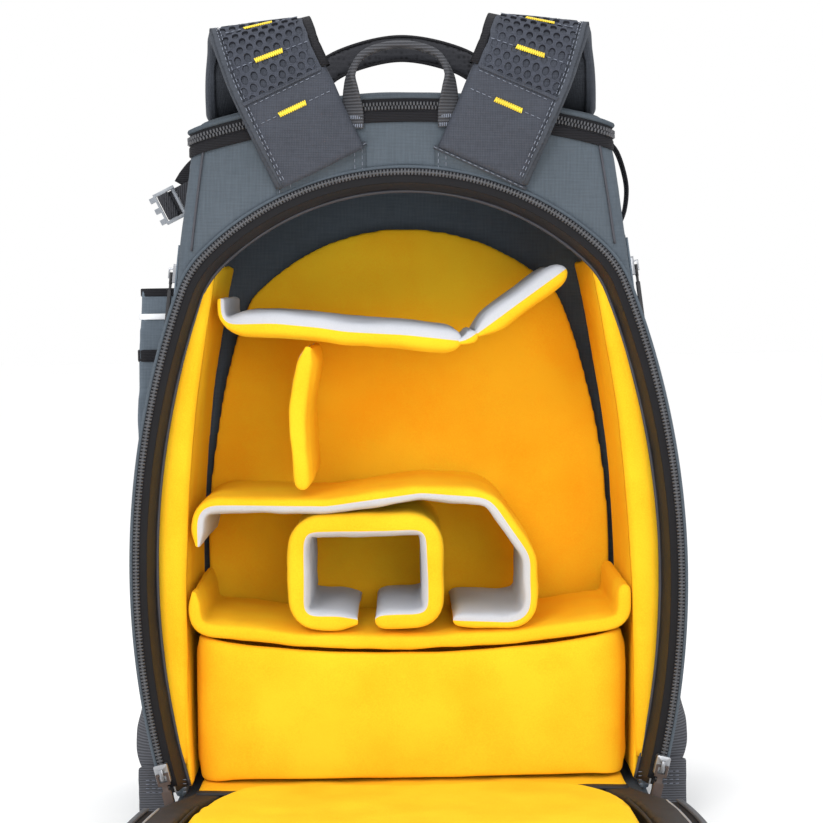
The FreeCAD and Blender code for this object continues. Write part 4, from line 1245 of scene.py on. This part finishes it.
def make_pockets():
    """Side pockets with bound mouths and a light strip, and the zipped front pocket."""
    for seed, ((name, side), mouth) in enumerate(zip(SIDES, (398, 205))):
        node = name + "_side_pocket"
        clothed(node + "_cloth", node, "pocket", 1.3, 40, seed + 11, voxel=2.4, rounds=5)
        bands = (("mouth", mouth - 3, "dark_binding", 6.0), ("strip", mouth - 21, "reflective", 4.5),
                 ("hem", mouth - 50, "dark_binding", 9.0))
        for part, level, material, width in bands:
            line = pocket_line(node, side, level)
            band = cord(node + "_" + part, line, lambda place: pocket_out(place, side), width, 1.6, material)
            belongs(band)
    clothed("front_pocket_cloth", "front_pocket", "shell", 1.6, 60, 15, rounds=7)
    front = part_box("front_pocket")[1][1] / MM
    half, foot, top, corner = 104, 60, 376, 26
    border = rounded([(-half, foot), (-half, top), (half, top), (half, foot), (-half, foot)], corner, 5)
    line = [Vector((p.x, front - 1.6, p.y)) for p in border]
    belongs(cord("front_pocket_piping", line, AHEAD, 2.6, 2.4, "dark_piping"))
    level = 350
    line = [Vector((x, front + 0.8, level)) for x in range(-96, 97, 4)]
    closed_zip("front_pocket_zip", "front_pocket_zip_chain", line, line, AHEAD)
    flaps = [cord("flap", [point + Vector((0, 0.2, shift)) for point in line], AHEAD, 4.5, 2.0, "shell")
             for shift in (-8.2, 8.2)]
    belongs(joined("front_pocket_flaps", flaps))


def pocket_line(node, side, level):
    """Line round the outside of a side pocket at a level."""
    wall, bulge = case_half_width(level) - 4, pocket_bulge(node, level)
    edge = POCKET_EDGE
    plan = rounded([(wall, -edge), (bulge, -edge), (bulge, edge), (wall, edge)], 8, 3)
    return [Vector((side * spot.x, spot.y, level)) for spot in plan]


def pocket_bulge(node, level):
    """How far out a side pocket's wall stands at a level."""
    radius = 1500
    centre, reach = (270, 200) if node.startswith("left") else (130, 197)
    return reach - radius + math.sqrt(radius ** 2 - (level - centre) ** 2) + 0.8


def pocket_out(place, side):
    """Direction out of a side pocket's wall."""
    if abs(place.y) > POCKET_EDGE - 0.5:
        return Vector((0, math.copysign(1, place.y), 0))
    if abs(place.y) > POCKET_EDGE - 7:
        return Vector((side, math.copysign(1, place.y), 0))
    return Vector((side, 0, 0))


SLIDERS = ("left_door_slider", "right_door_slider", "left_side_slider", "right_side_slider", "lid_slider",
           "front_pocket_slider")


def make_sliders():
    """Cast sliders and their moulded pulls."""
    for node in SLIDERS:
        bevelled(node + "_cast", node, "slider", 0.7)
        puller = node.replace("slider", "puller")
        material = "brown_rubber" if "door" in node else "rubber"
        bevelled(puller + "_grip", puller, material, 0.6)


make_camera()
make_studio()
make_shell()
make_seams()
make_gusset()
make_case_zip()
make_lid_seam()
make_side_zips()
make_linings()
make_dividers()
make_door()
make_hinge()
make_straps()
make_carry_handle()
make_grab_handle()
make_webbing()
make_compression()
make_pockets()
make_sliders()
